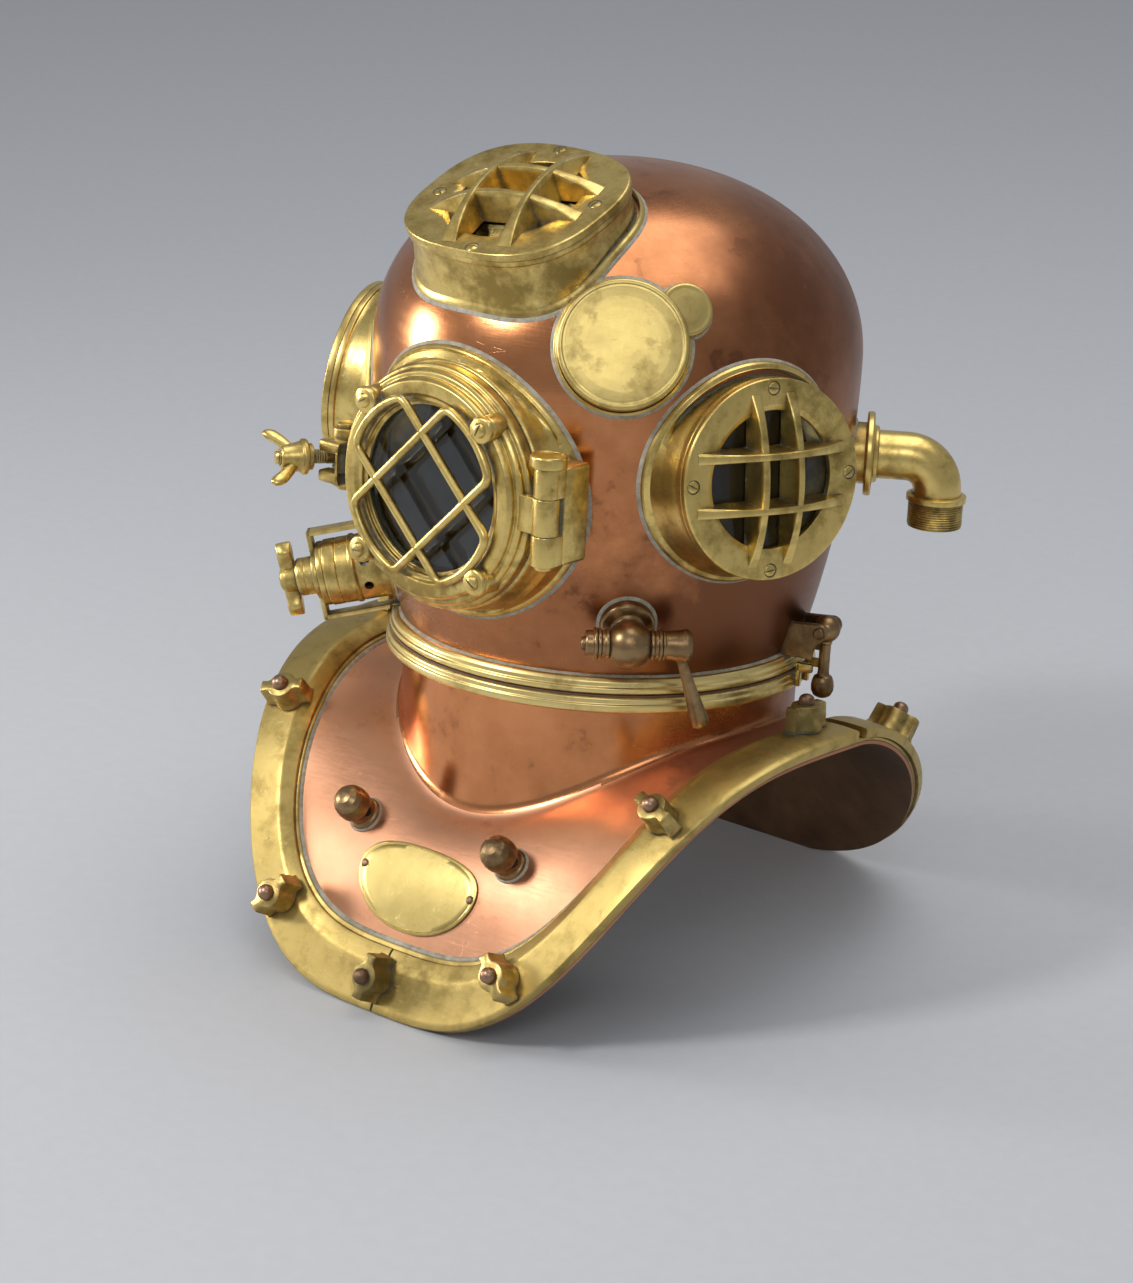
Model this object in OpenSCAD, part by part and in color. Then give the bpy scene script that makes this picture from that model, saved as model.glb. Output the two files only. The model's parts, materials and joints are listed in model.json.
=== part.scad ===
// Deep sea diving helmet: a copper bonnet with four windows that turns off a copper breastplate.
// Everything is drawn with the neck joint at z = 0 and the face towards -Y, and module seated()
// then leans the helmet back so that its front and back lobes stand on z = 0.

/* [Bonnet] */
// Greatest radius of the bonnet, at its waist
dome_r = 150.5; // [144:0.5:156]
// Height of the waist above the neck joint
waist_z = 185; // [175:1:195]
// Rise of the crown above the waist
crown_h = 114; // [108:1:120]
// Radius of the bonnet where it meets its neck ring
dome_foot_r = 126; // [123:0.5:129]
// Thickness of the copper sheet
sheet_t = 2.2; // [1.6:0.1:3]
// Squareness of the crown's shoulder, 2 is an ellipse
crown_n = 2.12; // [2:0.02:2.3]

/* [Neck joint] */
// Outer radius of the breastplate's neck ring
neck_ring_r = 135; // [132:0.5:140]
// Height of the breastplate's neck ring
neck_ring_h = 9.7; // [8:0.1:12]
// Outer radius of the bonnet's neck ring
bonnet_ring_r = 133; // [130:0.5:134]
// Height of the bonnet's neck ring
bonnet_ring_h = 9.5; // [8:0.5:12]
// Outer radius of the breastplate's copper neck
neck_r = 124; // [122:0.5:126]
// Angle that each screw lug of the interrupted thread spans
lug_angle = 42; // [36:1:43]
// Thickness of the leather washer in the joint
washer_t = 1.2; // [0.8:0.1:2]

/* [Breastplate] */
// Half of the width over the shoulders
half_w = 187; // [180:1:196]
// Reach of the front lobe ahead of the neck axis
front_reach = 192; // [184:1:200]
// Reach of the back lobe behind the neck axis
back_reach = 183; // [176:1:190]
// Depth of the front lobe below the neck joint
front_depth = 203; // [196:1:216]
// Depth of the back lobe below the neck joint
back_depth = 177; // [172:1:190]
// Depth of the shoulder edge below the neck joint
shoulder_depth = 30; // [28:1:36]
// Depth of the crease at the shoulder
crease_side = 31; // [29:1:36]
// How much deeper the crease is at the front
crease_front = 58; // [50:1:64]
// How much deeper the crease is at the back
crease_back = 44; // [36:1:52]
// Depth of the flat that the lobes stand on
foot_cut = 3.5; // [2:0.5:5]

/* [Brails and studs] */
// Width of the brails
brail_w = 40; // [34:1:42]
// Thickness of the brails
brail_t = 6.5; // [5:0.5:8]
// Thickness of the brass rim under the brails
rim_t = 2.5; // [2:0.5:3.5]
// Distance of the studs from the edge
stud_in = 20; // [18:1:24]
// Width of the slope on a brail's inner side
brail_slope = 12; // [6:0.5:16]
// Radius of the studs
stud_r = 5; // [4.5:0.1:5.5]
// Length of a stud above the brail
stud_l = 23; // [20:0.5:26]
// Radius of a brail nut
nut_r = 9.5; // [9:0.1:10.5]
// Height of a brail nut
nut_h = 16; // [13:0.5:18]

/* [Face window] */
// Height of the face window's centre above the neck joint
face_z = 122; // [119:0.5:125]
// Distance of the face frame's seat from the neck axis
face_seat = 154.3; // [152:0.1:157]
// Outer radius of the door ring
door_r = 74; // [72:0.5:75]
// Thickness of the door ring
door_t = 17; // [15:0.5:19]
// Radius of the clear opening of the door
door_open_r = 50; // [46:0.5:51]
// Radius of the circle of guard screws
guard_screw_r = 64.8; // [63:0.1:66]
// Radius of the guard's rods
guard_rod_r = 2.7; // [2:0.1:3]
// Spacing of each pair of guard rods
guard_gap = 50; // [44:1:52]
// Radius of the hinge barrel
hinge_r = 8; // [7:0.1:8.5]
// Radius of the hinge pin
hinge_pin_r = 4; // [3:0.1:5]
// Height of the door's hinge knuckle
knuckle_h = 22; // [18:0.5:26]
// Height of the whole hinge
hinge_h = 59; // [54:1:64]

/* [Swing bolt] */
// Radius of the swing bolt
bolt_r = 4.5; // [4:0.1:5]
// Length of the swing bolt from its pivot
bolt_l = 44; // [43:1:48]
// Angle that the bolt is thrown outwards at rest
bolt_rest = 33; // [32:1:36]
// Radius of the wing nut's hub
wing_hub_r = 9.5; // [8.5:0.1:10]
// Reach of the wing nut's wings
wing_reach = 20; // [18:0.5:24]

/* [Side and top windows] */
// Outer radius of a side window's grille plate
port_r = 60; // [58:0.5:62]
// Outer radius of the top window's grille plate
top_port_r = 66; // [64:0.5:67]
// Radius of the clear opening of the grilles
port_open_r = 41; // [38:0.5:43]
// Thickness of the grille plates
plate_t = 5; // [4:0.5:6]
// Thickness of the window glasses
glass_t = 8; // [6:0.5:10]
// Radius of the window glasses
glass_r = 50; // [48:0.5:51]
// Radius of the circle of plate screws
port_screw_r = 54; // [53.5:0.1:54.5]
// Width of the grille bars at their ridge
bar_w = 4; // [3:0.5:5]
// Width of a side window's bars at their foot
bar_foot = 8; // [7:0.5:10]
// Width of the top window's bars at their foot
top_bar_foot = 14; // [10:0.5:16]
// Spacing of a side window's upright bars
bar_gap_x = 24; // [22:1:28]
// Spacing of a side window's level bars
bar_gap_y = 32; // [28:1:34]
// Spacing of the top window's long bars
top_gap_x = 38; // [34:1:42]
// Spacing of the top window's cross bars
top_gap_y = 28; // [24:1:32]
// Rise of the grille bars above their plates
bar_rise = 14; // [10:0.5:16]
// Half depth of the top window between its flats
top_flat = 58.5; // [56:0.5:61]

/* [Valves and elbows] */
// Radius of the exhaust valve's drum
exhaust_r = 21; // [19:0.5:23]
// Length of the exhaust valve's drum
exhaust_l = 42; // [38:1:46]
// Radius of the exhaust valve's neck
exhaust_neck_r = 12; // [11:0.5:15]
// Length of the exhaust handle
exhaust_handle_l = 48; // [42:1:52]
// Travel of the exhaust valve's stem
exhaust_travel = 5; // [3:0.5:6]
// Radius of the spitcock's ball
spit_ball_r = 14.4; // [12:0.5:15]
// Radius of the spitcock's plug
plug_r = 6; // [5:0.1:7]
// Length of the spitcock's lever
lever_l = 53; // [50:1:57]
// Outer radius of the elbow tubes
elbow_r = 15; // [13:0.5:16]
// Wall of the elbow tubes
elbow_wall = 3.5; // [2.5:0.5:4]
// Bend radius of the elbows
elbow_bend = 20; // [18:0.5:24]
// Radius of the elbows' screwed ends
thread_r = 17; // [16:0.1:18]
// Length of the elbows' screwed ends
thread_l = 16; // [12:0.5:20]
// Radius of the telephone cup
cup_r = 38; // [35:0.5:40]
// Thickness of the telephone cup's wall
cup_wall = 4; // [3:0.5:5]

/* [Safety lock] */
// Distance of the lock's pivot from the neck axis
lock_reach = 150; // [149:0.5:153]
// Height of the lock's pivot above the neck joint
lock_z = 29; // [27:0.5:32]
// Distance between the lock's two balls
lock_l = 36.9; // [36:0.1:39]
// Radius of the lock's rod
lock_rod_r = 3.6; // [3:0.1:4]

/* [Hidden] */
$fn = 48;

// Clearances
gap = 0.3;          // between bodies that move past each other
fit = 0.05;         // radial running clearance of a pin or plug
seam = 0.3;         // solder or gasket line between bent sheets
big = 400;          // longer than the helmet, for cutting tools

// Placing: origin under the neck axis, on the floor, halfway between the front and back studs
brail_over = 2;     // the brails reach this far past the copper's edge
lean = atan((front_depth - back_depth) / (front_reach + back_reach));
stand_h = back_reach * sin(lean) + (back_depth + brail_over) * cos(lean) - foot_cut;
origin_y = 16.4;
module seated() translate([0, origin_y, stand_h]) rotate([-lean, 0, 0]) children();
// Everything below the floor, seen from the helmet's own frame
module below_floor() rotate([lean, 0, 0]) translate([-big, -big, -stand_h - 2 * big])
    cube([2 * big, 2 * big, 2 * big]);

// Local +Z points out of the helmet at azimuth az from the face towards the diver's left, el up
module facing(az, el) rotate([0, 0, az]) rotate([90 - el, 0, 0]) children();
module place(p, az, el) translate(p) facing(az, el) children();

// Colours
copper = [0.72, 0.38, 0.26];
brass = [0.76, 0.62, 0.30];
glass = [0.35, 0.42, 0.42, 0.5];
rubber = [0.12, 0.12, 0.12];
leather = [0.35, 0.22, 0.14];

// Bonnet profile: the crown is a squared ellipse, and below the waist it draws in to the neck
neck_seat = washer_t + gap;
dome_foot_z = neck_seat + bonnet_ring_h;
low_sag = 1 - dome_foot_r / dome_r;
function crown_at(a, off) = [(dome_r + off) * pow(cos(a), 2 / crown_n),
    waist_z + (crown_h + off) * pow(sin(a), 2 / crown_n)];
function low_at(t, off) = [dome_r * (1 - low_sag * t * t) + off, waist_z - t * (waist_z - dome_foot_z)];
function dome_line(off) = concat([for (i = [0:6]) low_at(1 - i / 7, off)],
    [for (i = [0:11]) crown_at(i * 7.5, off)], [[0, waist_z + crown_h + off]]);
function reversed(v) = [for (i = [len(v) - 1:-1:0]) v[i]];
// Solid inside of the bonnet's surface, grown by off
module dome_solid(off = 0) rotate_extrude($fn = 96)
    polygon(concat([[0, dome_foot_z - 6]], [[dome_foot_r + off, dome_foot_z - 6]], dome_line(off)));
// Radius of the bonnet below the waist at height z
function dome_r_at(z) = dome_r * (1 - low_sag * pow((waist_z - z) / (waist_z - dome_foot_z), 2));

// Window places: the middle of each grille plate's face, and its direction
side_az = 70.7;
side_el = 4.9;
side_out = 173.4;
side_z = 143;
top_el = 65.5;
top_p = [0, -102.3, 288.4];
left_p = [side_out * sin(side_az + 1.5), -side_out * cos(side_az + 1.5), side_z];
right_p = [-left_p[0], left_p[1], left_p[2]];

// Other fittings' places
cup_az = 40.3;
cup_el = 21;
cup_p = [92.3, -108.7, 217];
boss_p = [112.2, -78.5, 237];
boss_az = 55;
boss_el = 27;
boss_r = 16;
exhaust_az = -52;
exhaust_el = -14;
exhaust_z = 38.3;
exhaust_p = [dome_r_at(exhaust_z) * sin(exhaust_az), -dome_r_at(exhaust_z) * cos(exhaust_az),
    exhaust_z];
spit_az = 45.5;
spit_el = -20;
spit_z = 47;
spit_p = [dome_r_at(spit_z) * sin(spit_az), -dome_r_at(spit_z) * cos(spit_az), spit_z];
spit_out = 20;
elbow_az = 126;
elbow_z = 128;
elbow_out = 182;
lock_az = 105.5;

// Breastplate: rim curve. a runs from 0 at the front over 90 at the diver's left to 180 at the back
front_square = 3.28;
back_square = 2.56;
shoulder_y = 25;
function fold(a) = a > 180 ? 360 - a : a;
function side(a) = a > 180 ? -1 : 1;
function is_front(a) = fold(a) < 90;
function turn(a) = is_front(a) ? fold(a) : 180 - fold(a);
function drop(a) = sqrt(max(0, 1 - pow(sin(turn(a)), is_front(a) ? front_square : back_square)));
function rim_at(a) = let (w = drop(a)) [side(a) * half_w * sin(turn(a)),
    is_front(a) ? shoulder_y - (front_reach + shoulder_y) * pow(w, 0.7)
        : shoulder_y + (back_reach - shoulder_y) * pow(w, 0.82),
    is_front(a) ? -shoulder_depth - (front_depth - shoulder_depth) * pow(w, 2.55)
                : -shoulder_depth - (back_depth - shoulder_depth) * pow(w, 1.47)];
// The sheet runs from the crease on the neck to the rim as one curve
crease_fillet = 7;
function crease_z(v) = let (c = -v[1] / norm([v[0], v[1]])) -crease_side - (c > 0 ? crease_front
    : crease_back) * pow(abs(c), 2.7);
function out_dir(v) = [v[0], v[1], 0] / norm([v[0], v[1]]);
function slope_in(a) = (is_front(a) ? 23 : 22) * drop(a) + 2;
function slope_out(a) = (is_front(a) ? 59 : 52) * drop(a) + 6;
function aim(v, s) = out_dir(v) * cos(s) - [0, 0, sin(s)];
function ctrl(a) = let (r = rim_at(a), p = out_dir(r) * neck_r + [0, 0, crease_z(r)], l = norm(r - p))
    [p, p + aim(r, slope_in(a)) * l * 0.4, r - aim(r, slope_out(a)) * l * 0.36, r];
function curve_at(c, t) = pow(1 - t, 3) * c[0] + 3 * pow(1 - t,
    2) * t * c[1] + 3 * (1 - t) * t * t * c[2] + t * t * t * c[3];
// Point of the sheet's outer face at a share t of the way, past the rim when t is over 1
function sheet_at(a, t) = let (c = ctrl(a)) t <= 1 ? curve_at(c, t)
    : c[3] + aim(c[3], slope_out(a)) * (t - 1) * 3 * norm(c[3] - c[2]);
step_a = 0.5;
function wrap(a) = a < 0 ? a + 360 : a >= 360 ? a - 360 : a;
function unit(v) = v / norm(v);
function sheet_normal(a, t) = unit(cross(sheet_at(wrap(a + step_a), t) - sheet_at(wrap(a - step_a), t),
    sheet_at(a, t + 0.01) - sheet_at(a, t - 0.01)) * -1);
// Share of the way for a distance d in from the rim
function share(a, d) = 1 - d / (3 * norm(ctrl(a)[3] - ctrl(a)[2]));
function on_sheet(a, d, h) = sheet_at(a, share(a, d)) + sheet_normal(a, share(a, d)) * h;

// A closed skin from rings of points: each ring is one cross-section, all of the same count
module swept(rings, closed) {
    n = len(rings);
    m = len(rings[0]);
    last = closed ? n - 1 : n - 2;
    sides = [for (i = [0:last], j = [0:m - 1]) let (i2 = (i + 1) % n, j2 = (j + 1) % m)
        each [[i * m + j, i2 * m + j, i2 * m + j2], [i * m + j, i2 * m + j2, i * m + j2]]];
    ends = closed ? [] : [for (j = [1:m - 2])
        each [[0, j, j + 1], [(n - 1) * m, (n - 1) * m + j + 1, (n - 1) * m + j]]];
    polyhedron(points = [for (r = rings) each r], faces = concat(sides, ends));
}

sheet_turns = 72;
sheet_steps = 10;
neck_top = -neck_ring_h / 2 - 0.5;
function neck_points(a) = let (r = rim_at(a), o = out_dir(r), z = crease_z(r))
    [o * neck_r + [0, 0, neck_top], o * neck_r + [0, 0, (neck_top + z + crease_fillet) / 2],
        o * neck_r + [0, 0, z + crease_fillet]];
function neck_inner(a) = let (r = rim_at(a), o = out_dir(r), z = crease_z(r))
    [o * (neck_r - sheet_t) + [0, 0, neck_top],
        o * (neck_r - sheet_t) + [0, 0, (neck_top + z + crease_fillet) / 2],
        o * (neck_r - sheet_t) + [0, 0, z + crease_fillet / 2]];
fillet_share = 0.06;
function sheet_ring(a) = let (shares = [for (i = [0:sheet_steps])
    fillet_share + (1 - fillet_share) * i / sheet_steps])
    concat(neck_points(a), [for (t = shares) sheet_at(a, t)],
        reversed([for (t = shares) sheet_at(a, t) - sheet_normal(a, t) * sheet_t]),
            reversed(neck_inner(a)));

module breastplate_shell() color(copper) difference() {
    swept([for (i = [0:sheet_turns - 1]) sheet_ring(i * 360 / sheet_turns)], true);
    below_floor();
}

// Strip on the sheet from d0 to d1 in from the rim, between heights h0 and h1, with a sloped inner side
function strip_ring(a, d0, d1, h0, h1, slope_w, slope_h) =
    concat([on_sheet(a, d0, h0), on_sheet(a, d0, h1 - 1)],
    [for (i = [0:3]) on_sheet(a, d0 + 1 + (d1 - slope_w - d0 - 1) * i / 3, h1)],
        [on_sheet(a, d1, h1 - slope_h)],
    [for (i = [4:-1:1]) on_sheet(a, d0 + (d1 - d0) * i / 4, h0)]);

rim_extra = 3;      // the rim shows this far inside the brails
module breastplate_rim() color(brass) difference() {
    swept([for (i = [0:sheet_turns - 1])
        strip_ring(i * 360 / sheet_turns, 0, brail_w + rim_extra, seam, rim_t, 1, 1)], true);
    below_floor();
}

brail_gap = 0.25;   // half of the gap between two brails, in degrees
brail_step = 360 / sheet_turns;
function brail_angles(from, to) = concat([from + brail_gap],
    [for (a = [from + brail_step:brail_step:to - brail_step]) a], [to - brail_gap]);
stud_side = [31, 62, 87, 107, 142];
stud_angles = concat([0, 180], stud_side, [for (a = stud_side) 360 - a]);
brail_h = rim_t + brail_t;
// Local +Z is the sheet's outward normal at a stud, and local X lies along the rim
module at_stud(a, h) {
    t = share(a, stud_in);
    z = sheet_normal(a, t);
    y = unit(cross(z, sheet_at(wrap(a + 1), t) - sheet_at(wrap(a - 1), t)));
    x = cross(y, z);
    p = sheet_at(a, t) + z * h;
    multmatrix([[x[0], y[0], z[0], p[0]], [x[1], y[1], z[1], p[1]], [x[2], y[2], z[2], p[2]],
        [0, 0, 0, 1]]) children();
}
module brail(from, to) color(brass) difference() {
    swept([for (a = brail_angles(from, to))
        strip_ring(wrap(a), -brail_over, brail_w, rim_t + seam + 0.1, brail_h, brail_slope,
        brail_t - 2)], false);
    below_floor();
    for (a = stud_angles) if (a >= from && a <= to || a + 360 == to) at_stud(a, -5)
        cylinder(r = stud_r + 0.5, h = 25);
}
module brail_front_left() brail(0, 90);
module brail_back_left() brail(90, 180);
module brail_back_right() brail(180, 270);
module brail_front_right() brail(270, 360);

stud_base = rim_t + 0.3;
nut_base = brail_h + 0.6;
module brail_studs() color(copper) for (a = stud_angles) at_stud(a, stud_base) {
    cylinder(r = stud_r, h = brail_h - stud_base + stud_l - 2);
    translate([0, 0, brail_h - stud_base + stud_l - 2]) cylinder(r1 = stud_r, r2 = stud_r - 2, h = 2);
}

// Nut with two spanner ears, which lie across the brail, or along it on the shoulders
function ear_turn(a) = abs(fold(a) - 87) < 5 ? 0 : 90;
module brail_nuts() color(brass) for (a = stud_angles) at_stud(a, nut_base) difference() {
    union() {
        cylinder(r = nut_r, h = nut_h);
        cylinder(r = nut_r + 1.5, h = 3);
        for (s = [0, 180]) rotate([0, 0, s + ear_turn(a)]) translate([nut_r - 3, -3.5, 1])
            cube([8, 7, nut_h - 1]);
    }
    translate([0, 0, -1]) cylinder(r = stud_r + 0.1, h = nut_h + 2);
}

// Neck joint: lugs on both rings, a quarter of the circle each
lug_count = 4;
ring_bore = neck_r + 2;
skirt_r = neck_r - sheet_t - 1.2;
function lug_half() = lug_angle / 2;
module ring_sector(r0, r1, z0, z1, from, to) rotate([0, 0, from])
    rotate_extrude(angle = to - from, $fn = 96) translate([r0, z0]) square([r1 - r0, z1 - z0]);
module breastplate_ring() color(brass) {
    rotate_extrude($fn = 96) polygon([[neck_r + 0.05, -neck_ring_h], [neck_ring_r - 1, -neck_ring_h],
        [neck_ring_r, -neck_ring_h + 1], [neck_ring_r, -4.4],
        [neck_ring_r - 1.2, -3.6], [neck_ring_r - 1.2, -0.8], [neck_ring_r - 2, 0], [ring_bore, 0],
            [ring_bore, neck_top + 0.05], [neck_r + 0.05, neck_top + 0.05]]);
    for (i = [0:lug_count - 1]) ring_sector(skirt_r + 0.7, ring_bore + 0.5, -2.1, -0.3,
        i * 90 + 45 - lug_half(), i * 90 + 45 + lug_half());
}
module neck_washer() color(leather) rotate_extrude($fn = 96) translate([ring_bore + 0.6, 0])
    square([neck_ring_r - ring_bore - 3.2, washer_t]);
module bonnet_ring() color(brass) difference() {
    union() {
        rotate_extrude($fn = 96) polygon([[skirt_r - 4, -neck_ring_h + 3], [skirt_r, -neck_ring_h + 3],
            [skirt_r, neck_seat], [bonnet_ring_r - 1, neck_seat],
            [bonnet_ring_r, neck_seat + 1], [bonnet_ring_r, neck_seat + 4],
                [bonnet_ring_r - 1.5, neck_seat + 4.8], [bonnet_ring_r - 1.5, dome_foot_z - 2],
            [bonnet_ring_r - 3, dome_foot_z], [dome_foot_r - sheet_t - 3, dome_foot_z]]);
        for (i = [0:lug_count - 1]) ring_sector(skirt_r - 0.5, ring_bore - gap, -4.5, -2.4,
            i * 90 + 45 - lug_half(), i * 90 + 45 + lug_half());
    }
    rotate_extrude($fn = 96) translate([dome_foot_r - sheet_t, dome_foot_z - 1.5])
        square([sheet_t + 0.1, 2]);
}

module bonnet_shell() color(copper) difference() {
    rotate_extrude($fn = 96) polygon(concat([[dome_foot_r, dome_foot_z - 1.4]], dome_line(0),
        reversed(dome_line(-sheet_t)), [[dome_foot_r - sheet_t, dome_foot_z - 1.4]]));
    facing(0, 0) translate([0, face_z, 60]) cylinder(r = face_bore, h = 120);
    place(left_p, side_az, side_el) translate([0, 0, -80]) cylinder(r = frame_bore, h = 80);
    place(right_p, -side_az, side_el) translate([0, 0, -80]) cylinder(r = frame_bore, h = 80);
    place(top_p, 0, top_el) translate([0, 0, -80]) cylinder(r = frame_bore, h = 80);
    place(cup_p, cup_az, cup_el) translate([0, 0, -40]) cylinder(r = cup_r - cup_wall, h = 60);
    place(exhaust_p, exhaust_az, exhaust_el) translate([0, 0, -30])
        cylinder(r = exhaust_seat_r, h = 60);
    place(spit_p, spit_az, spit_el) translate([0, 0, -30]) cylinder(r = spit_bore_r, h = 60);
    for (s = [1, -1]) facing(s * elbow_az, 0) translate([0, elbow_z, 100])
        cylinder(r = elbow_r - elbow_wall, h = 80);
}

// Face window frame: a short brass tube that flares onto the copper
face_bore = 62;
module face_frame() color(brass) difference() {
    union() {
        facing(0, 0) translate([0, face_z, 0]) rotate_extrude($fn = 96)
            polygon([[0, 100], [81, 100], [81, 128], [79.5, 135], [77, 141], [76, 148],
            [75, face_seat - 1], [74, face_seat], [0, face_seat]]);
        intersection() {
            dome_solid(3);
            facing(0, 0) translate([0, face_z, 90]) cylinder(r = 83.5, h = 80, $fn = 96);
        }
    }
    dome_solid(0.02);
    facing(0, 0) translate([0, face_z, 60]) cylinder(r = face_bore, h = 120, $fn = 96);
}

// Hinge at the diver's left of the face window
hinge_x = 84.5;
hinge_out = 160.5;
block_out = 93.5;
block_back = 22;
hinge_z0 = face_z - hinge_h / 2;
knuckle_z0 = face_z - knuckle_h / 2;
module on_hinge() translate([hinge_x, -hinge_out, 0]) children();
module hinge_block() color(brass) difference() {
    union() {
        translate([70, -face_seat + 0.5, hinge_z0]) cube([block_out - 70, block_back, hinge_h]);
        for (z = [[hinge_z0, knuckle_z0 - gap], [knuckle_z0 + knuckle_h + gap, hinge_z0 + hinge_h]]) {
            on_hinge() translate([0, 0, z[0]]) cylinder(r = hinge_r, h = z[1] - z[0]);
            translate([hinge_x - 7.5, -hinge_out, z[0]]) cube([15.5, 9, z[1] - z[0]]);
        }
    }
    // chamfered back corners
    for (z = [hinge_z0, hinge_z0 + hinge_h]) translate([block_out, block_back - face_seat, z])
        rotate([45, 0, 0]) cube([60, 14, 14], center = true);
    facing(0, 0) translate([0, face_z, 60]) cylinder(r = 81.1, h = 68.05, $fn = 96);
    facing(0, 0) translate([0, face_z, 60]) rotate_extrude($fn = 96)
        polygon([[0, 0], [81.1, 0], [81.1, 68], [79.6, 75], [77.1, 81], [76.1, 88],
        [75.1, face_seat - 61], [75.1, 110], [0, 110]]);
    dome_solid(3.05);
    on_hinge() translate([0, 0, knuckle_z0 - gap]) cylinder(r = hinge_r + 0.8, h = knuckle_h + 2 * gap);
    on_hinge() translate([0, 0, hinge_z0 - 1]) cylinder(r = hinge_pin_r + fit, h = hinge_h + 2);
}
module hinge_pin() color(brass) on_hinge() {
    translate([0, 0, hinge_z0 - 2]) cylinder(r = hinge_pin_r, h = hinge_h + 3);
    translate([0, 0, hinge_z0 + hinge_h + 0.1]) cylinder(r = hinge_r + 2, h = 5);
    translate([0, 0, hinge_z0 + hinge_h + 5.1]) cylinder(r1 = hinge_r + 2, r2 = hinge_r, h = 2);
    translate([0, 0, hinge_z0 - 3]) cylinder(r = hinge_pin_r + 1.5, h = 2.9);
}

// Door: the ring with its knuckle and its forked lug for the swing bolt
door_back = face_seat + 0.7;
door_front = door_back + door_t;
glass_back = door_back + 0.5;
door_glass_r = door_open_r + 5.5;
lug_out = 90;
bolt_z = face_z - 1;
module door_ring() color(brass) difference() {
    union() {
        facing(0, 0) translate([0, face_z, 0]) rotate_extrude($fn = 96)
            polygon([[door_glass_r + 0.3, door_back], [door_r - 0.5, door_back],
            [door_r, door_back + 0.5],
            [door_r, door_back + 6], [door_r - 1.5, door_back + 7.5], [door_r - 3, door_back + 7.5],
                [door_r - 3, door_back + 10], [door_r - 5, door_back + 12],
            [door_r - 7.5, door_back + 12], [door_r - 7.5, door_back + 14.5],
                [door_r - 9.5, door_front], [door_open_r + 7, door_front],
            [door_open_r + 5, door_front - 2], [door_open_r + 2.5, door_front - 2],
                [door_open_r + 2.5, door_front - 4.5], [door_open_r, door_front - 4.5],
            [door_open_r, door_back + 10], [door_glass_r + 0.3, door_back + 10]]);
        for (q = [45:90:315]) facing(0, 0) translate([0, face_z, 0]) rotate([0, 0, q])
            translate([guard_screw_r, 0, door_back + 4]) cylinder(r = 7.6, h = door_t - 2);
        on_hinge() translate([0, 0, knuckle_z0]) cylinder(r = hinge_r, h = knuckle_h);
        translate([67, -hinge_out - 6, knuckle_z0]) cube([hinge_x - 67, 10, knuckle_h]);
    }
    on_hinge() translate([0, 0, knuckle_z0 - 1]) cylinder(r = hinge_pin_r + fit, h = knuckle_h + 2);
    facing(0, 0) translate([0, face_z, 0]) for (q = [45:90:315]) rotate([0, 0, q])
        translate([guard_screw_r, 0, door_back + 9]) cylinder(r = 2.6, h = door_t);
    facing(0, 0) translate([0, face_z, 0]) translate([0, 0, door_back - 1]) difference() {
        cylinder(r = 71, h = 2.2, $fn = 96);
        cylinder(r = 64, h = 2.2, $fn = 96);
    }
}
lug_front = 14;     // the lug's front face is this far ahead of the door's back
module door_lug() color(brass) difference() {
    translate([-lug_out, -door_back - lug_front, bolt_z - 13]) cube([lug_out - 66, 10, 26]);
    translate([-lug_out - 5, -door_back - 20, bolt_z - bolt_r - 1]) cube([18, 30, 2 * bolt_r + 2]);
    facing(0, 0) translate([0, face_z, 0]) cylinder(r = door_r + 0.05, h = 200, $fn = 96);
}
module door_gasket() color(rubber) facing(0, 0) translate([0, face_z, door_back - 0.4]) difference() {
    cylinder(r = 70.8, h = 1.5, $fn = 96);
    translate([0, 0, -1]) cylinder(r = 64.2, h = 4, $fn = 96);
}
module door_glass() color(glass) facing(0, 0) translate([0, face_z, door_back + 1.5])
    cylinder(r = door_glass_r, h = 8.3, $fn = 96);
module door_clamp_ring() color(brass) facing(0, 0) translate([0, face_z, door_back - 3]) difference() {
    cylinder(r = door_glass_r + 0.2, h = 4.4, $fn = 96);
    translate([0, 0, -1]) cylinder(r = door_open_r + 0.5, h = 7, $fn = 96);
}

// Guard: two crossed loops of rod whose ends follow the ring, on four screwed ears
guard_h = door_front + 3.9;
guard_end_r = 55;
guard_half = guard_gap / 2;
module rod(p, q) {
    v = q - p;
    translate(p) rotate([0, acos(v[2] / norm(v)), atan2(v[1], v[0])])
        cylinder(r = guard_rod_r, h = norm(v));
}
module guard_loop() {
    x_end = sqrt(pow(guard_end_r, 2) - pow(guard_half, 2));
    arc = atan2(guard_half, x_end);
    for (s = [-1, 1]) {
        rod([-x_end, s * guard_half, 0], [x_end, s * guard_half, 0]);
        for (e = [0, 180]) rotate([0, 0, e]) translate([x_end, s * guard_half, 0])
            sphere(r = guard_rod_r * 1.02);
    }
    for (e = [0, 180]) rotate([0, 0, e - arc]) rotate_extrude(angle = 2 * arc, $fn = 96)
        translate([guard_end_r, 0]) circle(r = guard_rod_r);
}
module door_guard() color(brass) facing(0, 0) translate([0, face_z, guard_h]) difference() {
    union() {
        for (q = [45, 135]) rotate([0, 0, q]) guard_loop();
        for (q = [45:90:315]) rotate([0, 0, q]) {
            translate([guard_screw_r, 0, -1.8]) cylinder(r = 7.5, h = 4);
            translate([guard_end_r - 1, -3.5, -1.8]) cube([5, 7, 4]);
        }
    }
    for (q = [45:90:315]) rotate([0, 0, q]) translate([guard_screw_r, 0, -5]) cylinder(r = 2.6, h = 20);
}
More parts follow.
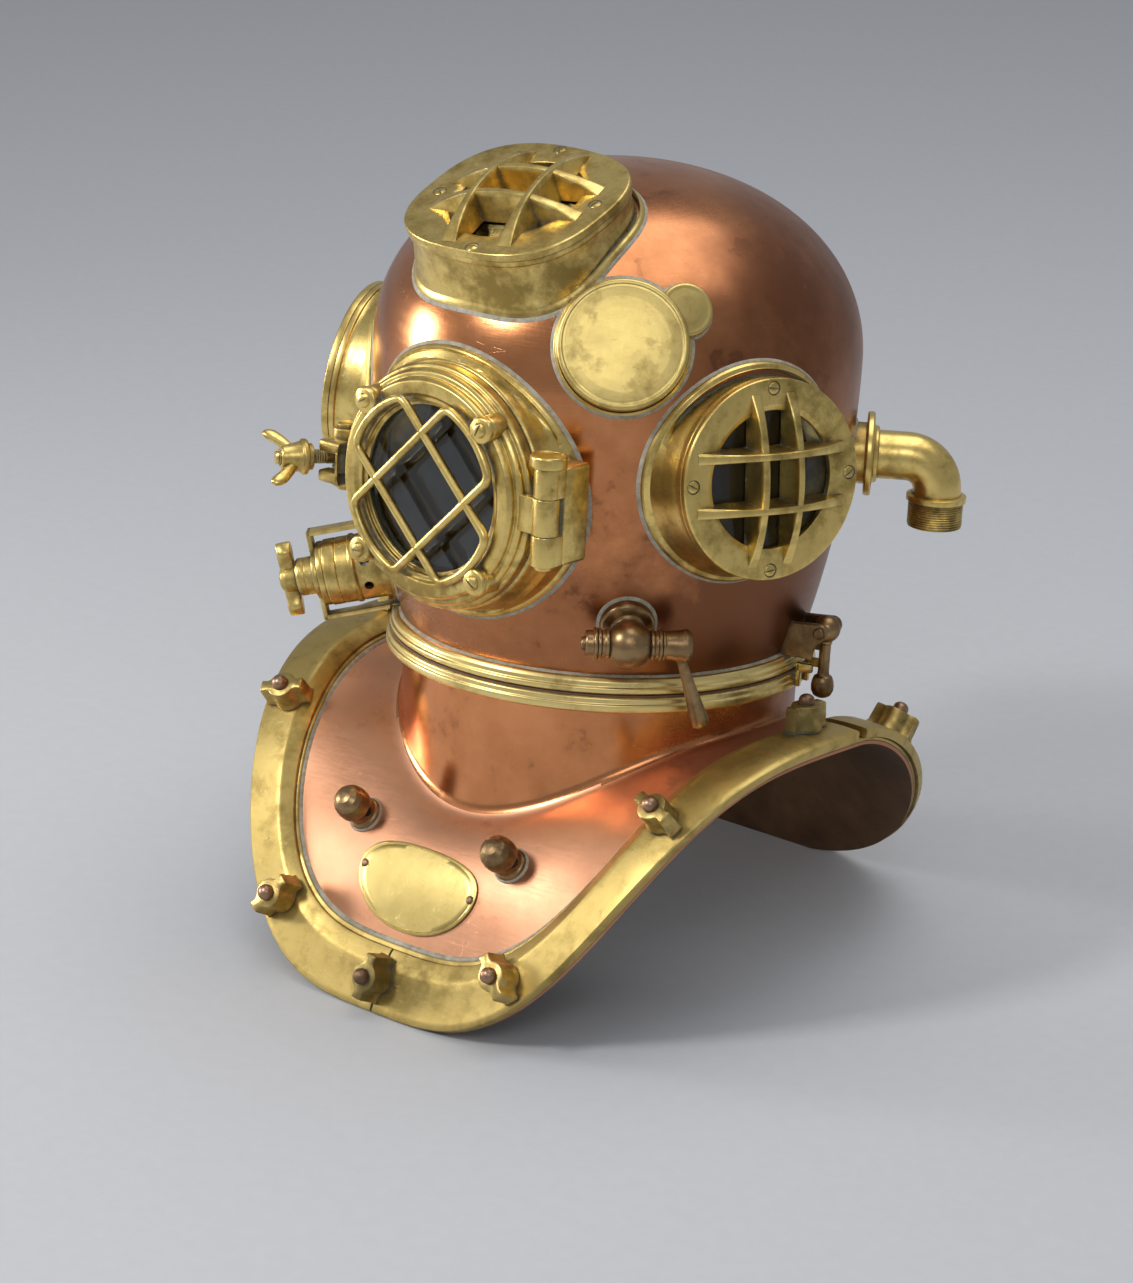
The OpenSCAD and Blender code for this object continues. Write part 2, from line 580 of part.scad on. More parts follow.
module door_guard_screws() color(brass) facing(0, 0) translate([0, face_z, 0]) for (q = [45:90:315])
    rotate([0, 0, q]) translate([guard_screw_r, 0, 0]) difference() {
    union() {
        translate([0, 0, door_back + 9.5]) cylinder(r = 2.5, h = guard_h + 2.3 - door_back - 9.5);
        translate([0, 0, guard_h + 2.3]) cylinder(r1 = 4.8, r2 = 3.6, h = 2.4);
    }
    translate([-6, -0.6, guard_h + 3.6]) cube([12, 1.2, 3]);
}

// Swing bolt at the diver's right of the face window, thrown clear of the door's lug
bolt_x = -86;
bolt_out = 149;
eye_r = 8;
eye_h = 10;
clevis_h = 36;
module on_bolt_pivot() translate([bolt_x, -bolt_out, bolt_z]) children();
// Local +Z runs along the bolt from its pivot
module along_bolt() on_bolt_pivot() rotate([0, 0, -bolt_rest]) rotate([90, 0, 0]) children();
module bolt_clevis() color(brass) difference() {
    union() {
        on_bolt_pivot() translate([0, 0, -clevis_h / 2]) cylinder(r = eye_r, h = clevis_h);
        translate([bolt_x - 7.5, -bolt_out, bolt_z - clevis_h / 2]) cube([18, 12, clevis_h]);
        translate([bolt_x + 2, -bolt_out - 4, bolt_z - clevis_h / 2]) cube([10, 22, clevis_h]);
    }
    on_bolt_pivot() translate([-30, -30, -eye_h / 2 - gap])
        cube([30 + eye_r + 0.8, 30 + eye_r + 0.8, eye_h + 2 * gap]);
    on_bolt_pivot() translate([0, 0, -clevis_h / 2 - 1]) cylinder(r = 3 + fit, h = clevis_h + 2);
    facing(0, 0) translate([0, face_z, 60]) rotate_extrude($fn = 96)
        polygon([[0, 0], [81.1, 0], [81.1, 68], [79.6, 75], [77.1, 81], [76.1, 88],
        [75.1, face_seat - 61], [75.1, 110], [0, 110]]);
    dome_solid(3.05);
}
module bolt_pin() color(brass) on_bolt_pivot() {
    translate([0, 0, -clevis_h / 2 - 1]) cylinder(r = 3, h = clevis_h + 2);
    translate([0, 0, clevis_h / 2 + 0.1]) cylinder(r = 5.5, h = 3);
    translate([0, 0, -clevis_h / 2 - 2.6]) cylinder(r = 4.5, h = 2.5);
}
module swing_bolt() color(brass) difference() {
    union() {
        on_bolt_pivot() translate([0, 0, -eye_h / 2]) cylinder(r = eye_r, h = eye_h);
        along_bolt() cylinder(r = bolt_r, h = bolt_l - 1);
        along_bolt() translate([0, 0, bolt_l - 1]) cylinder(r1 = bolt_r, r2 = bolt_r - 1, h = 1);
    }
    on_bolt_pivot() translate([0, 0, -eye_h]) cylinder(r = 3 + fit, h = 2 * eye_h);
}
washer_at = 20.8;
washer_l = 3;
module clamp_washer() color(brass) along_bolt() translate([0, 0, washer_at]) difference() {
    cylinder(r = 8, h = washer_l);
    translate([0, 0, -1]) cylinder(r = bolt_r + fit, h = washer_l + 2);
}
nut_at = washer_at + washer_l + gap;
nut_l = 16.5;
wing_t = 5;
wing_turn = 142;    // the wings lie across the bolt at this angle
module wing_nut() color(brass) along_bolt() translate([0, 0, nut_at]) difference() {
    union() {
        cylinder(r = wing_hub_r + 1.5, h = 3);
        translate([0, 0, 3]) cylinder(r1 = wing_hub_r, r2 = bolt_r + 2.5, h = nut_l - 3);
        for (q = [0, 180]) rotate([0, 0, wing_turn + q]) {
            translate([bolt_r + 1, -wing_t / 2, 4]) rotate([0, -35, 0])
                cube([wing_reach - 8, wing_t, 9]);
            translate([wing_reach - 6, 0, nut_l + 1]) rotate([90, 0, 0])
                cylinder(r = 6, h = wing_t, center = true);
        }
    }
    translate([0, 0, -1]) cylinder(r = bolt_r + fit, h = 30);
}

// Side and top windows: local z = 0 is the face of the grille plate
frame_bore = 45;
frame_r = 58.5;
seat_depth = plate_t + gap + glass_t + 2;
top_turn = 10;      // the top grille sits this far round in its frame
// A disc, or a squared oval where its half depth is less than r
oval_n = 2.7;
function oval_point(r, half, a) = [r * sign(cos(a)) * pow(abs(cos(a)), 2 / oval_n),
    half * sign(sin(a)) * pow(abs(sin(a)), 2 / oval_n)];
module flat_disc(r, half, h) linear_extrude(height = h) {
    if (half < r) polygon([for (i = [0:71]) oval_point(r, half, i * 5)]);
    else circle(r = r, $fn = 96);
}
module window_frame(p, az, el, drum_r, drum_flat, foot_out, foot_t) color(brass) difference() {
    union() {
        place(p, az, el) {
            translate([0, 0, -60]) flat_disc(drum_r, drum_flat, 60 - plate_t - 4);
            translate([0, 0, -60]) flat_disc(drum_r + foot_out / 2, drum_flat + foot_out / 2,
                60 - plate_t - 12);
            translate([0, 0, -plate_t - 4]) flat_disc(drum_r + 1.2, drum_flat + 1.2, 4 - gap / 2);
        }
        intersection() {
            dome_solid(foot_t);
            place(p, az, el) translate([0, 0, -60])
                flat_disc(drum_r + foot_out, drum_flat + foot_out, 60);
        }
    }
    dome_solid(0.02);
    place(p, az, el) {
        translate([0, 0, -90]) cylinder(r = frame_bore, h = 90, $fn = 96);
        translate([0, 0, -seat_depth]) cylinder(r = glass_r + 0.3, h = seat_depth, $fn = 96);
    }
}
module window_glass(p, az, el) color(glass) place(p, az, el)
    translate([0, 0, -plate_t - gap - glass_t]) cylinder(r = glass_r, h = glass_t, $fn = 96);
module window_washer(p, az, el) place(p, az, el) translate([0, 0, -seat_depth + 0.05]) difference() {
    cylinder(r = glass_r - 0.2, h = 1.9, $fn = 96);
    translate([0, 0, -1]) cylinder(r = frame_bore + 0.5, h = 4, $fn = 96);
}
bar_end = 51;
bar_h = bar_rise + plate_t;
// A bar along y that arches from plate to plate, wide at its foot and narrow at its ridge
module arched_bar(offset, foot) {
    arch_r = (bar_end * bar_end + bar_rise * bar_rise) / (2 * bar_rise);
    translate([offset, 0, 0]) intersection() {
        translate([0, 0, bar_rise - arch_r]) rotate([0, 90, 0])
            cylinder(r = arch_r, h = 2 * foot, center = true, $fn = 144);
        translate([0, bar_end, 0.5 - plate_t]) rotate([90, 0, 0]) linear_extrude(height = 2 * bar_end)
            polygon([[-foot / 2, 0], [foot / 2, 0], [bar_w / 2, bar_h], [-bar_w / 2, bar_h]]);
    }
}
module window_grille(p, az, el, r, flat, gap_x, gap_y, foot, turn) color(brass) place(p, az, el)
    difference() {
    union() {
        difference() {
            union() {
                translate([0, 0, -plate_t]) flat_disc(r, flat, plate_t - 1);
                translate([0, 0, -1]) flat_disc(r - 0.8, flat - 0.8, 1);
            }
            translate([0, 0, -plate_t - 1]) cylinder(r = port_open_r, h = plate_t + 2, $fn = 96);
        }
        for (s = [-1, 1]) rotate([0, 0, turn]) {
            arched_bar(s * gap_x / 2, foot);
            rotate([0, 0, 90]) arched_bar(s * gap_y / 2, foot);
        }
    }
    for (q = [0:90:270]) rotate([0, 0, q + turn]) translate([port_screw_r, 0, -plate_t - 1])
        cylinder(r = 2.2, h = plate_t + 2);
    for (q = [0:90:270]) rotate([0, 0, q + turn]) translate([port_screw_r, 0, -1.2])
        cylinder(r = 4.2, h = 3);
}
module grille_screw_set(p, az, el, turn) place(p, az, el) for (q = [0:90:270]) rotate([0, 0, q + turn])
    translate([port_screw_r, 0, 0]) difference() {
    union() {
        translate([0, 0, -plate_t + 0.2]) cylinder(r = 2, h = plate_t - 1);
        translate([0, 0, -1.15]) cylinder(r1 = 4, r2 = 3.4, h = 1.6);
    }
    translate([-6, -0.5, -0.3]) cube([12, 1, 3]);
}
module left_frame() window_frame(left_p, side_az, side_el, frame_r, frame_r + 1, 8.5, 4);
module right_frame() window_frame(right_p, -side_az, side_el, frame_r, frame_r + 1, 8.5, 4);
module top_frame() window_frame(top_p, 0, top_el, top_port_r - 1.8, top_flat - 1.8, 4, 2.5);
module left_glass() window_glass(left_p, side_az, side_el);
module right_glass() window_glass(right_p, -side_az, side_el);
module top_glass() window_glass(top_p, 0, top_el);
module left_grille() window_grille(left_p, side_az, side_el, port_r, port_r + 1, bar_gap_x, bar_gap_y,
    bar_foot, 0);
module right_grille() window_grille(right_p, -side_az, side_el, port_r, port_r + 1, bar_gap_x,
    bar_gap_y, bar_foot, 0);
module top_grille() window_grille(top_p, 0, top_el, top_port_r, top_flat, top_gap_x, top_gap_y,
    top_bar_foot, top_turn);
module window_washers() color(rubber) {
    window_washer(left_p, side_az, side_el);
    window_washer(right_p, -side_az, side_el);
    window_washer(top_p, 0, top_el);
}
module grille_screws() color(brass) {
    grille_screw_set(left_p, side_az, side_el, 0);
    grille_screw_set(right_p, -side_az, side_el, 0);
    grille_screw_set(top_p, 0, top_el, top_turn);
}

// Telephone cup, its small boss, and the capsule inside
cup_h = 9;
module telephone_cup() color(brass) difference() {
    union() {
        place(cup_p, cup_az, cup_el) {
            translate([0, 0, -30]) cylinder(r = cup_r, h = 30 + cup_h - 2, $fn = 96);
            translate([0, 0, cup_h - 2]) cylinder(r1 = cup_r, r2 = cup_r - 2, h = 2, $fn = 96);
        }
        intersection() {
            dome_solid(2);
            place(cup_p, cup_az, cup_el) translate([0, 0, -30])
                cylinder(r = cup_r + 2.5, h = 60, $fn = 96);
        }
    }
    dome_solid(0.02);
    place(cup_p, cup_az, cup_el) translate([0, 0, -40])
        cylinder(r = cup_r - cup_wall, h = 40 + cup_h - 3, $fn = 96);
    place(top_p, 0, top_el) translate([0, 0, -60]) flat_disc(top_port_r + 2.5, top_flat + 2.5, 60);
}
module cup_boss() color(brass) difference() {
    place(boss_p, boss_az, boss_el) translate([0, 0, -12]) cylinder(r = boss_r, h = 18);
    dome_solid(0.02);
    place(cup_p, cup_az, cup_el) translate([0, 0, -40]) cylinder(r = cup_r + 2.6, h = 80, $fn = 96);
}
module telephone_capsule() color(rubber) place(cup_p, cup_az, cup_el) translate([0, 0, -10])
    difference() {
    union() {
        cylinder(r = cup_r - cup_wall - 0.3, h = 6, $fn = 96);
        translate([0, 0, 6]) cylinder(r = cup_r - cup_wall - 6, h = 9.7, $fn = 96);
    }
    for (q = [0:60:300]) rotate([0, 0, q]) translate([12, 0, -1]) cylinder(r = 2.5, h = 3);
}

// Spitcock on the diver's left: local x is the plug's axis
spit_bore_r = 5;
hub_l = 18;
boss_half = 19;
module spitcock_body() color(brass) difference() {
    place(spit_p, spit_az, spit_el) {
        translate([0, 0, -8]) cylinder(r = 16, h = 12.5);
        cylinder(r = 9, h = spit_out);
        translate([0, 0, spit_out]) sphere(r = spit_ball_r);
        translate([-boss_half, 0, spit_out]) rotate([0, 90, 0])
            cylinder(r = plug_r + 2, h = 2 * boss_half);
    }
    dome_solid(0.02);
    place(spit_p, spit_az, spit_el) {
        translate([-boss_half - 1, 0, spit_out]) rotate([0, 90, 0])
            cylinder(r = plug_r + fit, h = 2 * boss_half + 2);
        translate([0, 0, -20]) cylinder(r = spit_bore_r, h = 20 + spit_out);
        translate([0, 0, spit_out]) rotate([90, 0, 0])
            cylinder(r = spit_bore_r - 1, h = spit_ball_r + 1);
    }
}
module spitcock_plug() color(brass) place(spit_p, spit_az, spit_el) translate([0, 0, spit_out])
    difference() {
    union() {
        translate([-boss_half - 2, 0, 0]) rotate([0, 90, 0])
            cylinder(r = plug_r, h = 2 * boss_half + hub_l);
        translate([-boss_half - gap - 2, 0, 0]) rotate([0, 90, 0]) cylinder(r = 9.8, h = 2);
        translate([-boss_half - gap - 7, 0, 0]) rotate([0, 90, 0]) cylinder(r = 8, h = 5.1, $fn = 6);
        translate([-boss_half - gap - 10, 0, 0]) rotate([0, 90, 0]) cylinder(r = 4, h = 5);
    }
    cylinder(r = spit_bore_r - 1, h = 30, center = true);
}
lever_tilt = -7.5;  // away from the bonnet, turned about the plug
lever_lean = 19;    // away from the ball, along the plug
module spitcock_lever() color(brass) place(spit_p, spit_az, spit_el)
    translate([boss_half + gap, 0, spit_out]) difference() {
    union() {
        rotate([0, 90, 0]) cylinder(r1 = 8.8, r2 = 10, h = hub_l - 4);
        translate([hub_l - 4, 0, 0]) rotate([0, 90, 0]) cylinder(r1 = 10, r2 = 7.5, h = 4);
        translate([hub_l / 2, 0, 0]) rotate([lever_tilt, 0, 0]) rotate([0, 0, lever_lean])
            rotate([90, 0, 0]) {
            cylinder(r1 = 2.8, r2 = 4.8, h = lever_l);
            translate([0, 0, lever_l]) sphere(r = 5.6);
        }
    }
    translate([-1, 0, 0]) rotate([0, 90, 0]) cylinder(r = plug_r + 0.02, h = hub_l + 1 - gap - 1.5);
}

// Exhaust valve on the diver's right: local z is its axis, and z = 0 lies on the copper
exhaust_seat_r = 12;
exhaust_bore = exhaust_r - 3;
cap_l = 4;
neck_l = 15;
neck_end = exhaust_l + cap_l + neck_l;
module at_exhaust() place(exhaust_p, exhaust_az, exhaust_el) children();
module exhaust_body() color(brass) difference() {
    at_exhaust() {
        translate([0, 0, -12]) cylinder(r = exhaust_r, h = 12 + exhaust_l);
        translate([0, 0, exhaust_l * 0.55]) cylinder(r = exhaust_r + 0.8, h = 2);
        translate([0, 0, -12]) cylinder(r = exhaust_r + 3, h = 15);
    }
    dome_solid(0.02);
    at_exhaust() {
        translate([0, 0, -30]) cylinder(r = exhaust_seat_r, h = 60);
        translate([0, 0, 8]) cylinder(r = exhaust_bore, h = exhaust_l);
        for (q = [0:45:315]) rotate([0, 0, q + 22.5]) translate([exhaust_r, 0, 15]) rotate([0, 90, 0])
            cylinder(r = 3, h = 12, center = true);
    }
}
module exhaust_cap() color(brass) at_exhaust() difference() {
    union() {
        translate([0, 0, exhaust_l + 0.05]) cylinder(r = exhaust_r - 0.6, h = cap_l);
        translate([0, 0, exhaust_l + cap_l])
            cylinder(r1 = exhaust_neck_r + 2, r2 = exhaust_neck_r, h = 3);
        translate([0, 0, exhaust_l + cap_l + 2]) cylinder(r = exhaust_neck_r, h = neck_l - 3);
        translate([0, 0, neck_end - 2]) cylinder(r1 = exhaust_neck_r, r2 = exhaust_neck_r - 1.5, h = 2);
    }
    translate([0, 0, exhaust_l - 1]) cylinder(r = 5 + fit, h = 40);
}
guard_off = exhaust_r + 5;
guard_w = 12;
guard_t = 3;
guard_top = exhaust_l + cap_l + guard_t + 0.6;
module exhaust_guard() color(brass) difference() {
    at_exhaust() {
        for (s = [-1, 1]) translate([-guard_w / 2, s * (guard_off + guard_t / 2) - guard_t / 2, -30])
            cube([guard_w, guard_t, 30 + guard_top]);
        translate([-guard_w / 2, -guard_off - guard_t, guard_top - guard_t])
            cube([guard_w, 2 * guard_off + 2 * guard_t, guard_t]);
        translate([0, 0, guard_top - guard_t]) cylinder(r = exhaust_neck_r + 3.5, h = guard_t);
    }
    dome_solid(0.02);
    translate([0, 0, -1]) cylinder(r = bonnet_ring_r + seam, h = dome_foot_z + 1 + seam, $fn = 96);
    at_exhaust() cylinder(r = exhaust_neck_r + 2.3, h = 100);
}
module exhaust_handle() color(brass) at_exhaust() {
    translate([0, 0, exhaust_l + 6]) cylinder(r = 5, h = neck_end - exhaust_l - 4);
    translate([0, 0, neck_end + gap]) cylinder(r = 8.5, h = 8);
    translate([0, 0, neck_end + gap + 8]) cylinder(r1 = 8.5, r2 = 5.5, h = 3);
    rotate([0, 0, 90]) for (s = [-1, 1]) {
        translate([s > 0 ? 5 : -exhaust_handle_l / 2 + 7, -5, neck_end + gap + 1])
            cube([exhaust_handle_l / 2 - 12, 10, 7.5]);
        translate([s * (exhaust_handle_l / 2 - 7), 0, neck_end + gap]) cylinder(r = 7, h = 9.5);
    }
}
module exhaust_stem() color(brass) at_exhaust() {
    translate([0, 0, -14]) cylinder(r = 3, h = 30);
    translate([0, 0, 8 + 0.3]) cylinder(r = exhaust_seat_r + 3, h = 3);
    translate([0, 0, -17]) cylinder(r = 9, h = 3.5);
    translate([0, 0, -19]) cylinder(r1 = 6, r2 = 9, h = 2);
}
spring_r = 9;
module exhaust_spring() color("silver") at_exhaust() translate([0, 0, 11.4]) difference() {
    cylinder(r = spring_r, h = exhaust_l - 11.4 - exhaust_travel - 1);
    translate([0, 0, -1]) cylinder(r = spring_r - 1.6, h = 60);
}

// Elbows at the back: air on the diver's left and telephone on the right
module elbow(s) color(brass) difference() {
    facing(s * elbow_az, 0) translate([0, elbow_z, 0]) {
        translate([0, 0, 130]) cylinder(r = 19, h = 27);
        translate([0, 0, 156.5]) cylinder(r = 26, h = 4.5);
        translate([0, 0, 161]) cylinder(r = elbow_r + 2, h = 3);
        translate([0, 0, 140]) cylinder(r = elbow_r, h = elbow_out - 140);
        translate([0, -elbow_bend, elbow_out]) rotate([0, -90, 0]) rotate_extrude(angle = 90)
            translate([elbow_bend, 0]) circle(r = elbow_r);
        translate([0, -elbow_bend, elbow_out + elbow_bend]) rotate([90, 0, 0]) {
            cylinder(r = elbow_r, h = 5);
            translate([0, 0, 3]) cylinder(r = thread_r + 1.6, h = 4);
            translate([0, 0, 6]) cylinder(r = thread_r, h = thread_l + 1);
        }
    }
    dome_solid(0.02);
    facing(s * elbow_az, 0) translate([0, elbow_z, 0]) {
        translate([0, 0, 100]) cylinder(r = elbow_r - elbow_wall, h = elbow_out - 100);
        translate([0, -elbow_bend, elbow_out]) rotate([0, -90, 0]) rotate_extrude(angle = 90)
            translate([elbow_bend, 0]) circle(r = elbow_r - elbow_wall);
        translate([0, -elbow_bend, elbow_out + elbow_bend]) rotate([90, 0, 0])
            cylinder(r = elbow_r - elbow_wall, h = thread_l + 8);
    }
}
module air_elbow() elbow(1);
module telephone_elbow() elbow(-1);

// Flat air ducts inside the bonnet, from the air elbow to above both side windows
duct_z = 206;
duct_h = 24;
duct_depth = 12;
module duct(from, to) color(brass) intersection() {
    difference() {
        dome_solid(-sheet_t - 0.1);
        dome_solid(-sheet_t - duct_depth);
    }
    rotate([0, 0, from - 90]) rotate_extrude(angle = to - from, $fn = 96) translate([60, duct_z])
        square([120, duct_h]);
}
duct_start = 100;
module air_duct_left() color(brass) difference() {
    union() {
        duct(duct_start, 150);
        intersection() {
            difference() {
                dome_solid(-sheet_t - 0.1);
                dome_solid(-sheet_t - duct_depth);
            }
            facing(elbow_az, 0) translate([-14, elbow_z - 14, 100])
                cube([28, duct_z - elbow_z + 14, 60]);
        }
    }
    duct_bore(duct_start - 5, 155);
    facing(elbow_az, 0) translate([-11, elbow_z - 11.4, 100]) cube([22, duct_z - elbow_z + 14, 60]);
}
// Passage of the ducts, one wall smaller on the inside
duct_wall = 2.5;
module duct_bore(from, to) intersection() {
    difference() {
        dome_solid(0);
        dome_solid(-sheet_t - duct_depth + duct_wall);
    }
    rotate([0, 0, from - 90]) rotate_extrude(angle = to - from, $fn = 96)
        translate([60, duct_z + duct_wall]) square([120, duct_h - 2 * duct_wall]);
}
module air_duct_right() color(brass) difference() {
    duct(150.2, 360 - duct_start);
    duct_bore(145, 365 - duct_start);
}

// Safety lock at the diver's left: a dumbbell that hangs from an ear on the bonnet's ring
lock_ball_r = 8.6;
lock_foot_r = 7;
lock_pin_r = 2.5;
ear_t = 4;
module at_lock() facing(lock_az, 0) translate([0, lock_z, lock_reach]) children();
module lock_ear() color(brass) difference() {
    union() {
        for (s = [-1, 1]) facing(lock_az, 0)
            translate([s * (lock_ball_r + gap + ear_t / 2) - ear_t / 2, 0, 0]) {
            translate([0, dome_foot_z + 0.3, 118])
                cube([ear_t, lock_z - dome_foot_z + 4, lock_reach - 122]);
            translate([0, lock_z, lock_reach]) rotate([0, 90, 0]) cylinder(r = 5.5, h = ear_t);
            translate([0, lock_z - 6, lock_reach - 12]) cube([ear_t, 10, 12]);
        }
        at_lock() rotate([0, 90, 0]) cylinder(r = lock_pin_r, h = 2 * (lock_ball_r + gap + ear_t) + 2,
            center = true);
    }
    dome_solid(0.02);
}
module safety_lock() color(brass) at_lock() difference() {
    union() {
        sphere(r = lock_ball_r);
        rotate([90, 0, 0]) cylinder(r = lock_rod_r, h = lock_l);
        translate([0, -lock_l, 0]) sphere(r = lock_foot_r);
    }
    rotate([0, 90, 0]) cylinder(r = lock_pin_r + fit, h = 40, center = true);
}
fork_out = 145.4;
module lock_fork() color(brass) facing(lock_az, 0) for (s = [-1, 1])
    translate([s * (lock_rod_r + 1.6 + 2) - 2, 0, 0]) {
    translate([0, -neck_ring_h + 1.5, neck_ring_r + 0.05]) cube([4, neck_ring_h + 5.5, 2.8]);
    translate([0, 1.5, neck_ring_r + 0.05]) cube([4, 5.5, fork_out - neck_ring_r]);
}

// Lashing eyes and name plate on the front of the breastplate
eye_a = 24.3;
eye_share = 0.29;
eye_ball_r = 11;
module at_sheet(a, t, h) {
    z = sheet_normal(a, t);
    x = unit([-z[1], z[0], 0]);
    y = cross(z, x);
    p = sheet_at(a, t) + z * h;
    multmatrix([[x[0], y[0], z[0], p[0]], [x[1], y[1], z[1], p[1]], [x[2], y[2], z[2], p[2]],
        [0, 0, 0, 1]]) children();
}
module lashing_eyes() color(brass) for (a = [eye_a, 360 - eye_a]) at_sheet(a, eye_share, 0.3)
    difference() {
    union() {
        cylinder(r = 10, h = 3);
        cylinder(r = 8.5, h = 8);
        translate([0, 0, 8]) cylinder(r1 = 8.5, r2 = eye_ball_r, h = 4);
        translate([0, 0, 12]) cylinder(r = eye_ball_r, h = 4);
        translate([0, 0, 16]) sphere(r = eye_ball_r);
    }
    translate([0, 0, 9]) rotate([0, 90, 0]) cylinder(r = 3.4, h = 40, center = true);
}
plate_share = 0.44;
plate_half_w = 48;
plate_half_h = 26.5;
plate_sheet = 1.2;
plate_seat = 0.3;
rivet_x = plate_half_w - 3.8;
plate_run = norm(sheet_at(0, plate_share + 0.05) - sheet_at(0, plate_share - 0.05)) * 10;
// Angle and share of the sheet's point that lies x across and y up from the plate's middle
function plate_share_at(y) = plate_share - y / plate_run;
function plate_angle_at(x, y) = wrap(x * 5 / sheet_at(5, plate_share_at(y))[0]);
function plate_point(x, y, h) = let (a = plate_angle_at(x, y), t = plate_share_at(y))
    sheet_at(a, t) + sheet_normal(a, t) * h;
function plate_ring(u) = let (x = plate_half_w * sin(u), w = plate_half_h * cos(u))
    concat([for (i = [-3:3]) plate_point(x, w * i / 3, plate_seat + plate_sheet)],
        [for (i = [3:-1:-3]) plate_point(x, w * i / 3, plate_seat)]);
module at_rivet(s) at_sheet(plate_angle_at(s * rivet_x, 0), plate_share, plate_seat) children();
// An oval plate bent to the sheet under it
module name_plate() color(brass) swept([for (u = [-80:10:80]) plate_ring(u)], false);
module name_plate_rivets() color(copper) for (s = [-1, 1]) at_rivet(s) {
    translate([0, 0, plate_sheet + 0.15]) cylinder(r = 2.6, h = 0.4);
    translate([0, 0, plate_sheet + 0.55]) cylinder(r1 = 2.6, r2 = 1.8, h = 0.8);
}

seated() breastplate_shell();
seated() breastplate_rim();
seated() breastplate_ring();
seated() neck_washer();
seated() lock_fork();
seated() brail_front_left();
seated() brail_front_right();
seated() brail_back_left();
seated() brail_back_right();
seated() brail_studs();
seated() brail_nuts();
seated() lashing_eyes();
seated() name_plate();
seated() name_plate_rivets();
seated() bonnet_shell();
seated() bonnet_ring();
seated() face_frame();
seated() hinge_block();
seated() hinge_pin();
seated() bolt_clevis();
seated() bolt_pin();
seated() left_frame();
seated() left_glass();
seated() left_grille();
seated() right_frame();
seated() right_glass();
seated() right_grille();
seated() top_frame();
seated() top_glass();
seated() top_grille();
seated() window_washers();
seated() grille_screws();
seated() telephone_cup();
seated() cup_boss();
seated() telephone_capsule();
seated() spitcock_body();
seated() spitcock_plug();
seated() spitcock_lever();
seated() exhaust_body();
seated() exhaust_cap();
seated() exhaust_guard();
seated() exhaust_handle();
seated() exhaust_stem();
seated() exhaust_spring();
seated() air_elbow();
seated() telephone_elbow();
seated() air_duct_left();
seated() air_duct_right();
seated() lock_ear();
seated() safety_lock();
seated() door_ring();
seated() door_lug();
seated() door_glass();
seated() door_gasket();
seated() door_clamp_ring();
seated() door_guard();
seated() door_guard_screws();
seated() swing_bolt();
seated() clamp_washer();
seated() wing_nut();
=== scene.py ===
# %% [markdown]
# # A deep sea diving helmet
# The helmet is a spun copper bonnet on a copper breastplate, with cast brass fittings soldered and
# screwed to both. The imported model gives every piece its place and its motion. This lesson gives the
# pieces their finish: rounded edges, solder lines, screws, patina and the wear of many polishings.
# It runs from top to bottom in Blender, one cell after the other.

# %% Load the frame
import json
from math import asin, atan, atan2, copysign, cos, degrees, exp, hypot, pi, radians, sin, sqrt, tau

import bpy
import numpy as np
from mathutils import Matrix, Vector


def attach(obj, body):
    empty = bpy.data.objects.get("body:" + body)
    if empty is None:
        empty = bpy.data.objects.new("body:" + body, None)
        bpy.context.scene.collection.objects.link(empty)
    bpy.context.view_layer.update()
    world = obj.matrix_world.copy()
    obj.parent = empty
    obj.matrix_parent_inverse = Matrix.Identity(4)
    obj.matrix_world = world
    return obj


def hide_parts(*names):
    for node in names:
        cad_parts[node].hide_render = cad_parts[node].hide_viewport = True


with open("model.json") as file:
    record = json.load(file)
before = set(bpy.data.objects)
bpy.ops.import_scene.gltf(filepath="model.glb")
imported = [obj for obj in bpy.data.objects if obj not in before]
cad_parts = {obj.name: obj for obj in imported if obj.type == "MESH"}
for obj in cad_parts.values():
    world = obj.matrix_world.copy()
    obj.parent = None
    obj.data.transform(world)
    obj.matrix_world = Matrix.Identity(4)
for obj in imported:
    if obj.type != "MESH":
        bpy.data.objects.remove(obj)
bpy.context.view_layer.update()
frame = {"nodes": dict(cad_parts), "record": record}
nodes = frame["nodes"]
slot_of = {part["node"]: part["material_slot"] for part in frame["record"]["subparts"]}

# %% [markdown]
# ## The helmet's own frame
# Everything on a helmet is set out from the neck ring, so the measures below are in millimetres from
# the neck joint, with the face towards -Y. One matrix then leans the helmet back on its two lobes and
# turns millimetres into metres. Working this way keeps the numbers as a fitter would write them.


# %% Seat of the helmet
def moved(x, y, z):
    return Matrix.Translation((x, y, z))


def swung(axis, angle):
    """A turn round an axis, in degrees."""
    return Matrix.Rotation(radians(angle), 4, axis)


front_reach, front_drop = 192, 203
back_reach, back_drop = 183, 177
lean = atan((front_drop - back_drop) / (front_reach + back_reach))
worn = 3.5
stand_height = back_reach * sin(lean) + (back_drop + 2) * cos(lean) - worn
leaning = Matrix.Rotation(-lean, 4, "X")
seat = Matrix.Scale(0.001, 4) @ moved(0, 16.4, stand_height) @ leaning


def facing(turn, rise):
    """Turns local +Z to point out of the helmet, turn degrees round from the face and rise degrees up."""
    return swung("Z", turn) @ swung("X", 90 - rise)


def spot(point, turn, rise):
    """Frame of a fitting, in millimetres from the neck joint."""
    return moved(*point) @ facing(turn, rise)


print("lean", round(degrees(lean), 2), "neck joint above the floor", round(stand_height, 1))

# %% [markdown]
# ## Camera
# The photograph was taken from a little above, from the diver's left of the face. A long lens keeps
# the helmet's proportions, so the camera stands two and a half metres away.

